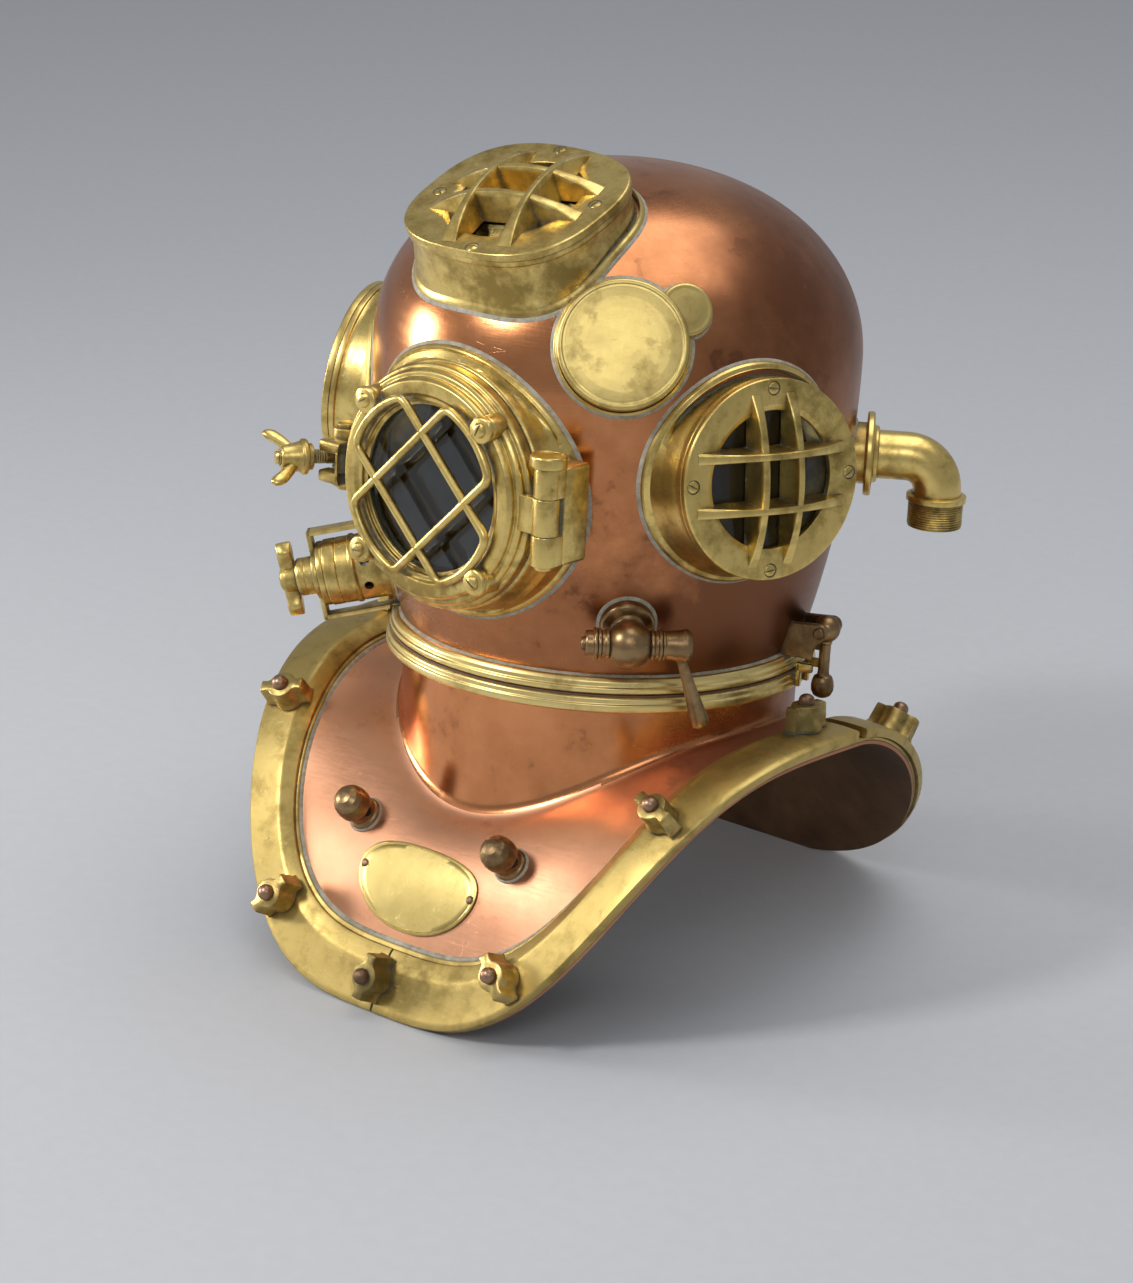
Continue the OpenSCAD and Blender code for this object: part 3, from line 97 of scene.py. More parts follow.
# %% Camera
to_right = Vector((0.7578, 0.6504, 0.0524))
to_top = Vector((-0.2290, 0.1899, 0.9547))
to_back = Vector((0.6110, -0.7354, 0.2929))
distance, aside, above, lowered = 2526.4, 21.57, 3.67, 9.74
focal_length_in_pixels, picture_height = 4014.5, 1283
eye = to_back * distance - to_right * aside + to_top * above - Vector((0, 0, lowered))
aim = Matrix((to_right, to_top, to_back)).transposed().to_4x4()
place = seat @ Matrix.Translation(eye)
lens = bpy.data.cameras.new("camera")
camera = bpy.data.objects.new("camera", lens)
bpy.context.scene.collection.objects.link(camera)
camera.matrix_world = Matrix.Translation(place.translation) @ leaning @ aim
lens.lens = focal_length_in_pixels / picture_height * lens.sensor_width
lens.clip_start = 0.1
lens.clip_end = 100
bpy.context.scene.camera = camera
bpy.context.scene.view_settings.view_transform = "Standard"
print("camera", [round(v, 3) for v in camera.location])

# %% [markdown]
# ## Writing a finish
# A finish is a small sum: so much bare metal here, so much tarnish there. Blender keeps such sums as
# nodes. The class below wraps a value of the material, so that a sum can be written in plain Python
# and each sign makes its own node. Colours are mixed, never added up, so that they stay colours.


# %% Sums on a material's values
class Wire:
    """A value inside a material. Sums written on it become Math nodes."""

    def __init__(self, tree, socket):
        self.tree = tree
        self.socket = socket

    def join(self, operation, first, second):
        node = self.tree.nodes.new("ShaderNodeMath")
        node.operation = operation
        for slot, value in zip(node.inputs, (first, second)):
            plug(self.tree, slot, value)
        return Wire(self.tree, node.outputs[0])

    def __add__(self, other):
        return self.join("ADD", self, other)

    __radd__ = __add__

    def __sub__(self, other):
        return self.join("SUBTRACT", self, other)

    def __rsub__(self, other):
        return self.join("SUBTRACT", other, self)

    def __mul__(self, other):
        return self.join("MULTIPLY", self, other)

    __rmul__ = __mul__

    def __abs__(self):
        return self.join("ABSOLUTE", self, 0)

    def least(self, other):
        return self.join("MINIMUM", self, other)

    def most(self, other):
        return self.join("MAXIMUM", self, other)

    def held(self):
        """The same value, kept between 0 and 1."""
        return self.least(1).most(0)


def plug(tree, slot, value):
    """Joins a wire to a node's slot, or writes a number or a colour in it."""
    if isinstance(value, Wire):
        tree.links.new(value.socket, slot)
    elif hasattr(slot.default_value, "__len__") and len(slot.default_value) == 4:
        slot.default_value = (*value, 1) if len(value) == 3 else value
    else:
        slot.default_value = value


# %% A finish and its common nodes
class Finish:
    """A material whose nodes are made by one method, and its Principled shader."""

    def __init__(self, name, **sockets):
        self.material = bpy.data.materials.new(name)
        self.material.use_nodes = True
        self.tree = self.material.node_tree
        self.shader = self.tree.nodes["Principled BSDF"]
        self.set(**sockets)
        self.place = self.node("ShaderNodeTexCoord", output="Object")

    def node(self, kind, settings=None, values=None, output=0):
        made = self.tree.nodes.new(kind)
        for key, value in (settings or {}).items():
            setattr(made, key, value)
        for key, value in (values or {}).items():
            plug(self.tree, made.inputs[key], value)
        return Wire(self.tree, made.outputs[output])

    def set(self, **sockets):
        """Plugs values in the shader: base_color fills its Base Color."""
        for key, value in sockets.items():
            plug(self.tree, self.shader.inputs[key.replace("_", " ").title().replace("Ior", "IOR")], value)

    def mix(self, share, first, second):
        kinds = {"data_type": "RGBA", "clamp_factor": True}
        return self.node("ShaderNodeMix", kinds, {0: share, 6: first, 7: second}, 2)

    def axis(self, name):
        """Place along X, Y or Z, in metres."""
        return self.node("ShaderNodeSeparateXYZ", None, {"Vector": self.place}, name)

    def cloud(self, scale, detail=3.0, rough=0.5, stretch=None, shift=(0, 0, 0)):
        """Noise between 0 and 1, scale cells to a metre, pulled out along an axis by stretch."""
        vector = self.place
        if stretch:
            values = {"Vector": vector, "Scale": stretch, "Location": shift}
            vector = self.node("ShaderNodeMapping", None, values)
        values = {"Vector": vector, "Scale": scale, "Detail": detail, "Roughness": rough}
        return self.node("ShaderNodeTexNoise", None, values)

    def lines(self, scale, width, stretch, shift=(0, 0, 0)):
        """Thin wandering lines, as scratches are: 1 on the line and 0 beside it."""
        field = self.cloud(scale, 2.0, 0.5, stretch, shift)
        return (1 - abs(field - 0.5) * (1 / width)).held()

    def hollows(self, reach):
        """1 in corners and grooves within reach metres, 0 on open faces."""
        return 1 - self.node("ShaderNodeAmbientOcclusion", {"samples": 6}, {"Distance": reach}, "AO")

    def bump(self, height):
        """A relief whose height is in metres."""
        values = {"Height": height, "Distance": 1.0, "Strength": 1.0}
        return self.node("ShaderNodeBump", None, values)


def steep(wire, middle, width):
    """Turns a soft value into a mask that climbs from 0 to 1 over width round middle."""
    return ((wire - (middle - width / 2)) * (1 / width)).held()


# %% [markdown]
# ## Floor, world and lamps
# Polished metal shows what stands round it more than its own colour. A soft lamp low at the left, like
# a window, gives the long highlights on the crown and the neck. The key lamp above it gives the short
# highlights, a weak one fills the front, and a broad one hangs overhead. A dark grey world leaves the
# rest of the copper deep.

# %% Floor
bpy.ops.mesh.primitive_circle_add(vertices=96, radius=7, fill_type="NGON")
floor = bpy.context.object
floor.name = "floor"
floor_finish = Finish("floor_paper", roughness=0.9)
grain = floor_finish.cloud(90, 4, 0.6)
floor_finish.set(base_color=floor_finish.mix(grain * 0.5, (0.56, 0.57, 0.59), (0.66, 0.67, 0.69)))
floor.data.materials.append(floor_finish.material)

# %% World: a pale paper behind the helmet, and a darker room in its reflections
world = bpy.data.worlds.new("room")
bpy.context.scene.world = world
world.use_nodes = True
room = world.node_tree
room.nodes.clear()


def background(colour):
    shade = room.nodes.new("ShaderNodeBackground")
    shade.inputs["Color"].default_value = (*colour, 1)
    return shade


paper = background((0.62, 0.63, 0.66))
walls = background((0.29, 0.30, 0.32))
ray = room.nodes.new("ShaderNodeLightPath")
either = room.nodes.new("ShaderNodeMixShader")
out = room.nodes.new("ShaderNodeOutputWorld")
room.links.new(ray.outputs["Is Camera Ray"], either.inputs[0])
room.links.new(walls.outputs[0], either.inputs[1])
room.links.new(paper.outputs[0], either.inputs[2])
room.links.new(either.outputs[0], out.inputs["Surface"])


# %% Lamps
helmet_middle = Vector((0, 0, 0.26))


def lamp(name, at, size, power, spread=180):
    """A square soft lamp that looks at the helmet. A small spread, in degrees, spares the floor."""
    light = bpy.data.lights.new(name, "AREA")
    light.shape = "RECTANGLE"
    light.size, light.size_y = size
    light.energy = power
    light.spread = radians(spread)
    stand = bpy.data.objects.new(name, light)
    bpy.context.scene.collection.objects.link(stand)
    stand.location = at
    stand.rotation_euler = (Vector(at) - helmet_middle).to_track_quat("Z", "Y").to_euler()


lamp("window", (-2.3, -1.2, 0.55), (0.55, 0.70), 4.8, spread=80)
lamp("key", (-0.95, -2.05, 1.95), (0.5, 0.5), 28)
lamp("fill", (1.5, -1.8, 1.9), (1.3, 0.9), 9)
lamp("ceiling", (0.3, 0.6, 3.0), (2.4, 2.4), 33)

# %% [markdown]
# ## Copper
# The bonnet has been polished by hand many times. Where the cloth reaches, the copper is bright and
# orange; towards the back and round the fittings it has gone brown. On the side away from the lamps the
# same brown is painted shade. Fine scratches cross it, and the sheet was beaten and planished, so that
# its reflections are never quite straight.


# %% Copper of the bonnet and the breastplate
def copper(name, bright, middle, brown, shine, dullness, tarnish, foot=-1):
    """Copper that tarnishes towards the back, and from the neck ring up to the height foot; on the side away
    from the lamps its brown is painted shade.
    """
    finish = Finish(name, metallic=1.0)
    broad = finish.cloud(5, 3, 0.55)
    blotch = finish.cloud(26, 5, 0.62)
    fine = finish.cloud(140, 4, 0.6)
    across, behind, height = (finish.axis(name) for name in "XYZ")
    # The brown grows towards the back and towards the helmet's right as the camera sees it. At the back it
    # is tarnish; on the side away from the lamps it is painted shade.
    side = (across * 0.76 + behind * 0.65).most(behind - 0.03)
    back = steep(side + (broad - 0.5) * 0.16 + (blotch - 0.5) * 0.05, 0.07, 0.13)
    low = steep(foot - height + (blotch - 0.5) * 0.10, 0.0, 0.05) * steep(height, 0.19, 0.01)
    darkened = (steep(broad + (blotch - 0.5) * 0.5, tarnish, 0.4) * 0.45 + back * 0.72 + low * 0.5).held()
    stain = steep(blotch + (fine - 0.5) * 0.3, 0.66, 0.10) * 0.4
    tone = finish.mix(steep(blotch, 0.5, 0.6), bright, middle)
    tone = finish.mix((darkened + stain).held(), tone, brown)
    short = steep(finish.cloud(34, 2, 0.5), 0.60, 0.06)
    scratch = (finish.lines(7, 0.0016, (1, 2, 8)) + finish.lines(8, 0.0016, (8, 7, 1), (3, 1, 2))) * short
    hair = finish.cloud(60, 2, 0.6, (1, 1, 14)) * 0.6 + finish.cloud(60, 2, 0.6, (12, 9, 1)) * 0.4
    finish.set(base_color=finish.mix(scratch.held() * 0.15, tone, (0.90, 0.62, 0.42)))
    rough = hair * dullness + shine + (darkened + stain).held() * 0.16 + scratch.held() * 0.1
    finish.set(roughness=rough.held())
    waves = broad * 0.6 + finish.cloud(13, 2, 0.5) * 0.4
    relief = waves * 0.0022 + hair * 0.00004 - scratch.held() * 0.00002 + fine * 0.00003
    finish.set(normal=finish.bump(relief))
    return finish.material


polished = (0.82, 0.345, 0.145), (0.66, 0.25, 0.095), (0.24, 0.095, 0.045)
satin = (0.84, 0.43, 0.25), (0.74, 0.35, 0.19), (0.40, 0.19, 0.10)
finishes = {
    "copper": copper("polished copper", *polished, 0.12, 0.16, 0.56, foot=0.285),
    "copper_satin": copper("satin copper", *satin, 0.27, 0.22, 0.66),
}
print("copper finishes", len(finishes))

# %% [markdown]
# ## Brass and bronze
# The castings are polished on their open faces only. The polish dries white in every corner that the
# cloth can't reach, and under it the brass goes brown and green. Blender's ambient occlusion finds
# those corners, so it decides where the tarnish and the dried polish lie.


# %% Cast brass
def brass(name, bright, middle, dark, shine, dullness, tarnish, chalk, brushed=0.0):
    """Brass with dark corners. chalk is how much dried polish is left in them."""
    finish = Finish(name)
    broad = finish.cloud(16, 4, 0.6)
    blotch = finish.cloud(70, 5, 0.65)
    fine = finish.cloud(420, 3, 0.6)
    corner = finish.hollows(0.007)
    soiled = steep(corner + (blotch - 0.5) * 0.5, 0.40, 0.30)
    darkened = (steep(broad + (blotch - 0.5) * 0.8, tarnish, 0.26) * 0.66 + soiled * 0.9).held()
    tone = finish.mix(steep(blotch, 0.5, 0.5), bright, middle)
    tone = finish.mix(darkened, tone, dark)
    speck = steep(blotch * 0.5 + fine * 0.5, 0.66, 0.05)
    tone = finish.mix(speck * 0.6, tone, dark)
    dried = (steep(corner + (fine - 0.5) * 0.5 + (broad - 0.5) * 0.7, 0.56, 0.14) * chalk).held()
    tone = finish.mix(dried, tone, (0.50, 0.52, 0.43))
    short = steep(finish.cloud(90, 2, 0.5), 0.60, 0.06)
    scratch = (finish.lines(20, 0.005, (1, 2, 7)) + finish.lines(22, 0.005, (7, 6, 1), (1, 4, 2))) * short
    tone = finish.mix(scratch.held() * 0.3, tone, (0.90, 0.76, 0.42))
    finish.set(base_color=tone, metallic=1 - dried * 0.95)
    hair = finish.cloud(150, 2, 0.6, (1, 1, 12)) * 0.5 + finish.cloud(150, 2, 0.6, (12, 1, 1)) * 0.5
    rough = hair * dullness + shine + darkened * 0.22 + dried * 0.5
    finish.set(roughness=rough.held())
    relief = broad * 0.0004 + blotch * 0.00008 + fine * 0.00002
    relief = relief + hair * (0.00002 + brushed * 0.00006) - scratch.held() * 0.00003 + dried * 0.0002
    finish.set(normal=finish.bump(relief))
    return finish.material


dark_brass = (0.15, 0.092, 0.022)
castings = {
    "brass": ("cast brass", (0.92, 0.70, 0.25), (0.72, 0.51, 0.15), dark_brass, 0.2, 0.2, 0.57, 0.6),
    "brass_brail": (
        "brail brass", (0.64, 0.47, 0.165), (0.5, 0.36, 0.11), (0.18, 0.125, 0.04), 0.3, 0.18, 0.62, 0.4, 1.0
    ),
    "bronze": (
        "brown bronze", (0.41, 0.27, 0.13), (0.29, 0.18, 0.085), (0.09, 0.055, 0.03), 0.22, 0.2, 0.55, 0.3
    ),
    "stud_copper": (
        "stud copper", (0.44, 0.27, 0.17), (0.32, 0.19, 0.12), (0.12, 0.07, 0.04), 0.28, 0.2, 0.55, 0.35
    ),
    "plate": (
        "plate brass", (0.74, 0.57, 0.21), (0.64, 0.48, 0.16), (0.30, 0.21, 0.07), 0.28, 0.16, 0.72, 0.35
    ),
    # The neck rings' brass is a lighter copy of the cast brass. Its extra lightness is painted light, for
    # the light the rings catch from the front.
    "ring_brass": ("ring brass painted lighter", (0.96, 0.76, 0.32), (0.84, 0.64, 0.24), dark_brass, 0.24, 0.18, 0.66, 0.8),
    "nut_brass": (
        "nut brass", (0.66, 0.48, 0.17), (0.44, 0.31, 0.10), (0.10, 0.085, 0.035), 0.26, 0.22, 0.5, 0.55
    ),
}
for name, row in castings.items():
    finishes[name] = brass(*row)
print("finishes", sorted(finishes))

# %% [markdown]
# ## Glass, rubber, leather and what is left of the polish
# The panes are thick plate glass, slightly dusty. The line of pale solder and dried polish round
# every flange is what ties the fittings to the copper, so it gets a finish of its own.


# %% The other finishes
def plain(name, first, second, rough, scale, relief=0.0001, **sockets):
    """A dull finish of two tones with a grain."""
    finish = Finish(name, **sockets)
    grain = finish.cloud(scale, 5, 0.65)
    coarse = finish.cloud(scale / 6, 3, 0.5)
    finish.set(base_color=finish.mix(steep(grain * 0.6 + coarse * 0.4, 0.5, 0.4), first, second))
    finish.set(roughness=(rough + (grain - 0.5) * 0.25).held())
    finish.set(normal=finish.bump(grain * relief))
    return finish.material


finishes["rubber"] = plain("black rubber", (0.018, 0.018, 0.018), (0.035, 0.034, 0.032), 0.6, 260)
finishes["leather"] = plain("neck leather", (0.13, 0.065, 0.035), (0.20, 0.11, 0.06), 0.7, 300, 0.0003)
finishes["capsule"] = plain("moulded capsule", (0.020, 0.020, 0.021), (0.03, 0.03, 0.03), 0.42, 200)
finishes["steel"] = plain(
    "bright steel", (0.46, 0.46, 0.45), (0.60, 0.60, 0.58), 0.3, 160, 0.00003, metallic=1.0
)
finishes["solder"] = plain("solder line", (0.20, 0.17, 0.11), (0.64, 0.60, 0.48), 0.6, 240, 0.0006)
finishes["dark_copper"] = plain(
    "copper inside", (0.085, 0.042, 0.022), (0.22, 0.12, 0.055), 0.5, 46, 0.0004, metallic=0.8
)

# %% Thick plate glass
pane = Finish("plate glass", metallic=0.0, transmission_weight=1.0, ior=1.5)
pane.set(base_color=pane.mix(pane.cloud(30, 3), (0.60, 0.66, 0.65), (0.72, 0.77, 0.76)))
dust = steep(pane.cloud(45, 5, 0.65), 0.6, 0.3)
pane.set(roughness=dust * 0.12 + 0.02)
finishes["glass"] = pane.material
print("finishes in all", len(finishes))

# %% [markdown]
# ## Turning, skinning and cutting
# Most fittings were turned on a lathe, so most pieces here start as an outline that is spun round an
# axis. Rods, bars and bent strips are skins over a row of cross-sections. Castings with flat faces
# start as blocks with soft edges. A sharp corner never catches the light, so every outline has its
# corners rounded before it is spun.


# %% Choosing a piece and opening it
def choose(*pieces):
    """Selects these pieces alone, or none, and makes the first one active."""
    bpy.ops.object.select_all(action="DESELECT")
    for piece in pieces:
        piece.select_set(True)
    if pieces:
        bpy.context.view_layer.objects.active = pieces[0]


def opened():
    """Opens the active piece for editing, with all of it selected."""
    bpy.ops.object.mode_set(mode="EDIT")
    bpy.ops.mesh.select_all(action="SELECT")


def closed():
    """Closes the active piece again and returns it."""
    bpy.ops.object.mode_set(mode="OBJECT")
    return bpy.context.object


def cleaned():
    """Merges doubles, drops loose edges, points the faces outwards and closes the piece."""
    bpy.ops.mesh.select_all(action="SELECT")
    bpy.ops.mesh.remove_doubles(threshold=0.002)
    bpy.ops.mesh.delete_loose()
    bpy.ops.mesh.select_all(action="SELECT")
    bpy.ops.mesh.normals_make_consistent(inside=False)
    return closed()


# %% Outlines and turned pieces
def rounded(profile, radius):
    """The closed outline with each corner made a short curve. Corners on the axis stay."""
    parts = 3
    out = []
    for i, corner in enumerate(profile):
        here = Vector(corner)
        before = Vector(profile[i - 1]) - here
        after = Vector(profile[(i + 1) % len(profile)]) - here
        if here.x < 0.001:
            out.append(tuple(here))
            continue
        reach = min(radius, before.length * 0.45, after.length * 0.45)
        first = here + before.normalized() * reach
        last = here + after.normalized() * reach
        for k in range(parts + 1):
            t = k / parts
            out.append(tuple(first * (1 - t) ** 2 + here * (2 * t * (1 - t)) + last * t**2))
    return out


def turned(profile, steps, soft):
    """Spins a closed outline of (radius, height) points round Z. soft rounds its corners."""
    points = rounded(profile, soft) if soft else profile
    choose()
    bpy.ops.mesh.primitive_circle_add(vertices=len(points), radius=1)
    piece = bpy.context.object
    for vertex, (radius, height) in zip(piece.data.vertices, points):
        vertex.co = (radius, 0, height)
    opened()
    bpy.ops.mesh.spin(steps=steps, angle=tau, center=(0, 0, 0), axis=(0, 0, 1))
    return cleaned()


def threaded(count, *ridge):
    """Points of a screw thread: the same ridge again and again, 1.5 mm further each time."""
    return [(radius, height + i * 1.5) for i in range(count) for radius, height in ridge]


# %% Skins and blocks
def skin(rings, along=False):
    """A closed skin over rings of points. along joins the last ring to the first; otherwise it has ends."""
    count = len(rings) + (1 if along else 0)
    size = len(rings[0])
    choose()
    bpy.ops.mesh.primitive_grid_add(x_subdivisions=size, y_subdivisions=count - 1)
    piece = bpy.context.object
    rows = [list(rings[i % len(rings)]) for i in range(count)]
    places = [point for row in rows for point in (*row, row[0])]
    piece.data.vertices.foreach_set("co", np.array(places, float).ravel())
    opened()
    bpy.ops.mesh.remove_doubles(threshold=0.002)
    if not along:
        bpy.ops.mesh.fill_holes(sides=0)
    return cleaned()


def block(low, high, soft, parts=2):
    """A block between two corners with soft edges."""
    choose()
    middle = [(a + b) / 2 for a, b in zip(low, high)]
    size = [b - a for a, b in zip(low, high)]
    bpy.ops.mesh.primitive_cube_add(size=1, location=middle, scale=size)
    bpy.ops.object.transform_apply(location=True, rotation=True, scale=True)
    opened()
    bpy.ops.mesh.bevel(offset=soft, segments=parts, affect="EDGES")
    return closed()


def rod(points, radius, sides, loop=False):
    """A round rod along points. As a loop it ends where it starts; otherwise its ends are flat."""
    path = [Vector(p) for p in points]
    angles = [tau * k / sides for k in range(sides)]
    rings = []
    side = None
    for i, here in enumerate(path):
        after = path[(i + 1) % len(path)] if loop or i + 1 < len(path) else here
        before = path[i - 1] if loop or i > 0 else here
        ahead = (after - before).normalized()
        if side is None:
            side = ahead.orthogonal().normalized()
        side = (side - ahead * side.dot(ahead)).normalized()
        across = ahead.cross(side)
        rings.append([here + (side * cos(a) + across * sin(a)) * radius for a in angles])
    return skin(rings, along=loop)


# %% Placing, joining and cutting
def put(piece, matrix):
    """Moves a piece's mesh by a matrix."""
    piece.data.transform(matrix)
    return piece


def joined(*pieces):
    """Makes one piece of several. Their meshes may overlap."""
    choose(*pieces)
    bpy.ops.object.join()
    return pieces[0]


def copied(piece, matrix):
    """A copy with its own mesh, placed by matrix."""
    choose(piece)
    bpy.ops.object.duplicate()
    return put(bpy.context.object, matrix)


def borer(at, radius, depth, length):
    """A cylinder to cut with: its middle lies depth along the frame's Z."""
    choose()
    bpy.ops.mesh.primitive_cylinder_add(vertices=96, radius=radius, depth=length, location=(0, 0, depth))
    tool = bpy.context.object
    bpy.ops.object.transform_apply(location=True)
    return put(tool, at)


def cut(piece, *tools):
    """Takes the tools away from the piece, and removes them."""
    for tool in tools:
        choose(piece)
        modifier = piece.modifiers.new("cut", "BOOLEAN")
        modifier.operation = "DIFFERENCE"
        modifier.solver = "EXACT"
        modifier.object = tool
        bpy.ops.object.modifier_apply(modifier=modifier.name)
        bpy.data.objects.remove(tool)
    return piece


made = []


def settle(piece, name, slot, body, *stands_for, finish=None, at=None, smooth=38):
    """Takes a piece from millimetres to its place on the helmet, and gives it its finish and its body."""
    put(piece, seat @ (at or Matrix()))
    piece.name = name
    piece.data.name = name
    if not piece.data.materials or finish:
        piece.data.materials.clear()
        piece.data.materials.append(finishes[finish or slot])
    choose(piece)
    bpy.ops.object.shade_smooth_by_angle(angle=radians(smooth))
    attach(piece, body)
    if stands_for:
        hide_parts(*stands_for)
    made.append(name)
    return piece


# %% [markdown]
# ## The copper bonnet
# The bonnet is one spun shell: a squared ellipse above the waist, drawn in to the neck below it. Its
# outline is worked out as points, given its thickness, spun, and then bored for the windows. Many
# short steps keep its reflections smooth.

# %% Outline of the bonnet
waist = 185.0
crown_rise = 114.0
thickness = 2.2
dome_radius = 150.5
squareness = 2.12
foot_radius = 126.0
foot_height = 11.0
draw_in = 1 - foot_radius / dome_radius


def waist_radius(height):
    """Radius of the bonnet below its waist."""
    t = (waist - height) / (waist - foot_height)
    return dome_radius * (1 - draw_in * t * t)


def bonnet_line(grow):
    """Points of the bonnet's outline from its foot to the crown, grown by grow."""
    low = []
    for i in range(29):
        height = waist - (1 - i / 28) * (waist - foot_height)
        low.append((waist_radius(height) + grow, height))
    high = []
    for i in range(1, 61):
        a = radians(i * 1.5)
        out = (dome_radius + grow) * max(cos(a), 0) ** (2 / squareness)
        high.append((out, waist + (crown_rise + grow) * sin(a) ** (2 / squareness)))
    high[-1] = (0, waist + crown_rise + grow)
    return low + high


def bonnet_depth(at, x, y):
    """Local height, in a fitting's frame, of the bonnet's face under local x and y.

    It halves the stretch between a point outside the copper and one inside, again and again."""
    turn = np.array(at.to_3x3())
    start = np.array(at.translation)
    near = np.full(np.shape(x), 160.0)
    far = np.full(np.shape(x), -110.0)
    for _ in range(34):
        middle = (near + far) / 2
        point = turn @ np.array([x, y, middle]) + start[:, None]
        across = np.hypot(point[0], point[1])
        up = np.clip(point[2] - waist, 0, None) / crown_rise
        top = (across / dome_radius) ** squareness + up**squareness - 1
        low = across / waist_radius(point[2]) - 1
        outside = np.where(point[2] > waist, top, low) > 0
        near = np.where(outside, middle, near)
        far = np.where(outside, far, middle)
    return (near + far) / 2


# %% Places of the windows and fittings, in millimetres from the neck joint
side_turn, side_rise = 70.7, 4.9
side_reach = 173.4
side_x = side_reach * sin(radians(side_turn + 1.5))
side_y = -side_reach * cos(radians(side_turn + 1.5))
left_window = spot((side_x, side_y, 143), side_turn, side_rise)
right_window = spot((-side_x, side_y, 143), -side_turn, side_rise)
top_window = spot((0, -102.3, 288.4), 0, 65.5)
face = facing(0, 0) @ moved(0, 122, 0)
telephone = spot((92.3, -108.7, 217), 40.3, 21)
boss = spot((112.2, -78.5, 237), 55, 27)


def on_waist(turn, rise, height):
    """Frame of a fitting whose foot is on the bonnet below its waist."""
    radius = waist_radius(height)
    angle = radians(turn)
    return spot((radius * sin(angle), -radius * cos(angle), height), turn, rise)


exhaust = on_waist(-52, -14, 38.3)
spitcock = on_waist(45.5, -20, 47)

# %% Spin the bonnet and bore it
inner = [(max(r, 0), z) for r, z in reversed(bonnet_line(-thickness))]
bonnet = turned(bonnet_line(0) + inner, steps=180, soft=0)
windows = [borer(window, 45, -40, 80) for window in (left_window, right_window, top_window)]
cut(bonnet, borer(face, 61.8, 130, 90), *windows, borer(telephone, 33, -20, 60))
bonnet.data.materials.append(finishes["copper"])
bonnet.data.materials.append(finishes["dark_copper"])
for polygon in bonnet.data.polygons:
    x, y, z = polygon.center
    outwards = polygon.normal.dot(Vector((x, y, max(z - waist, 0) * 1.3)))
    polygon.material_index = 0 if outwards > 0 else 1
settle(bonnet, "bonnet_copper", "copper", "bonnet", "bonnet_shell", smooth=30)
print("bonnet faces", len(bonnet.data.polygons))

# %% [markdown]
# ## The breastplate's surface
# The breastplate is one bent sheet. A smooth curve runs from the crease on the neck down to the rim at
# every angle, and the rim itself is a saddle: low in front and behind, high over the shoulders. The
# brass rim, the brails, the studs and the lashing eyes all sit on this surface, so it is written once
# as a function, and everything else asks it for a place and a direction.


# %% The sheet as a function of angle and share
neck_radius = 124
half_width = 187
shoulder_y, shoulder_z = 25, -30


def out_of(point):
    return Vector((point.x, point.y, 0)).normalized()


def sheet_curve(a):
    """The four control points of the sheet's curve at angle a, and the slope at its rim."""
    folded = 360 - a if a > 180 else a
    front = folded < 90
    turn = radians(folded if front else 180 - folded)
    drop = sqrt(max(0, 1 - sin(turn) ** (3.28 if front else 2.56)))
    x = (-half_width if a > 180 else half_width) * sin(turn)
    y = shoulder_y - 217 * drop**0.7 if front else shoulder_y + 158 * drop**0.82
    z = shoulder_z - (173 * drop**2.55 if front else 147 * drop**1.47)
    rim = Vector((x, y, z))
    out = out_of(rim)
    ahead = -out.y
    crease = Vector((0, 0, -31 - (58 if ahead > 0 else 44) * abs(ahead) ** 2.7))
    start = out * neck_radius + crease
    length = (rim - start).length
    slope_in = radians((23 if front else 22) * drop + 2)
    slope_out = radians((59 if front else 52) * drop + 6)
    away_in = out * cos(slope_in) - Vector((0, 0, sin(slope_in)))
    away_out = out * cos(slope_out) - Vector((0, 0, sin(slope_out)))
    return start, start + away_in * length * 0.4, rim - away_out * length * 0.36, rim, away_out


curves = {}


def curve_at(a):
    """The sheet's curve at angle a, worked out once for each angle."""
    key = round(a % 360, 4)
    if key not in curves:
        curves[key] = sheet_curve(key)
    return curves[key]


def sheet_at(a, t):
    """Point of the sheet at angle a: t is 0 at the crease, 1 at the rim, and more beyond it."""
    c0, c1, c2, c3, away = curve_at(a)
    if t > 1:
        return c3 + away * (t - 1) * 3 * (c3 - c2).length
    u = 1 - t
    return c0 * u**3 + c1 * (3 * u * u * t) + c2 * (3 * u * t * t) + c3 * t**3


def sheet_normal(a, t):
    along = sheet_at(a + 0.5, t) - sheet_at(a - 0.5, t)
    down = sheet_at(a, t + 0.01) - sheet_at(a, t - 0.01)
    return -along.cross(down).normalized()


def share(a, inwards):
    """Share of the way for a distance in from the rim."""
    before_rim, rim = curve_at(a)[2:4]
    return 1 - inwards / (3 * (rim - before_rim).length)


def above_sheet(a, t, height):
    """Point at a height over the sheet, along its normal."""
    return sheet_at(a, t) + sheet_normal(a, t) * height


def carried(section, angles, along=False):
    """A skin over one section, given as distances in from the rim and heights, at each of the angles."""
    return skin([[above_sheet(a, share(a, d), h) for d, h in section] for a in angles], along)


stud_line = 20


def frame_on(a, t, height, x):
    """Frame above the sheet: Z is the sheet's normal and X is given."""
    z = sheet_normal(a, t)
    turn = Matrix((x, z.cross(x), z)).transposed().to_4x4()
    return Matrix.Translation(sheet_at(a, t) + z * height) @ turn


def on_stud(a, height):
    """Frame on the rim, where the studs stand, with X along the rim."""
    t = share(a, stud_line)
    z = sheet_normal(a, t)
    y = z.cross(sheet_at(a + 1, t) - sheet_at(a - 1, t)).normalized()
    return frame_on(a, t, height, y.cross(z))


def on_front(a, t, height):
    """Frame on the sheet with a level X."""
    z = sheet_normal(a, t)
    return frame_on(a, t, height, Vector((-z.y, z.x, 0)).normalized())


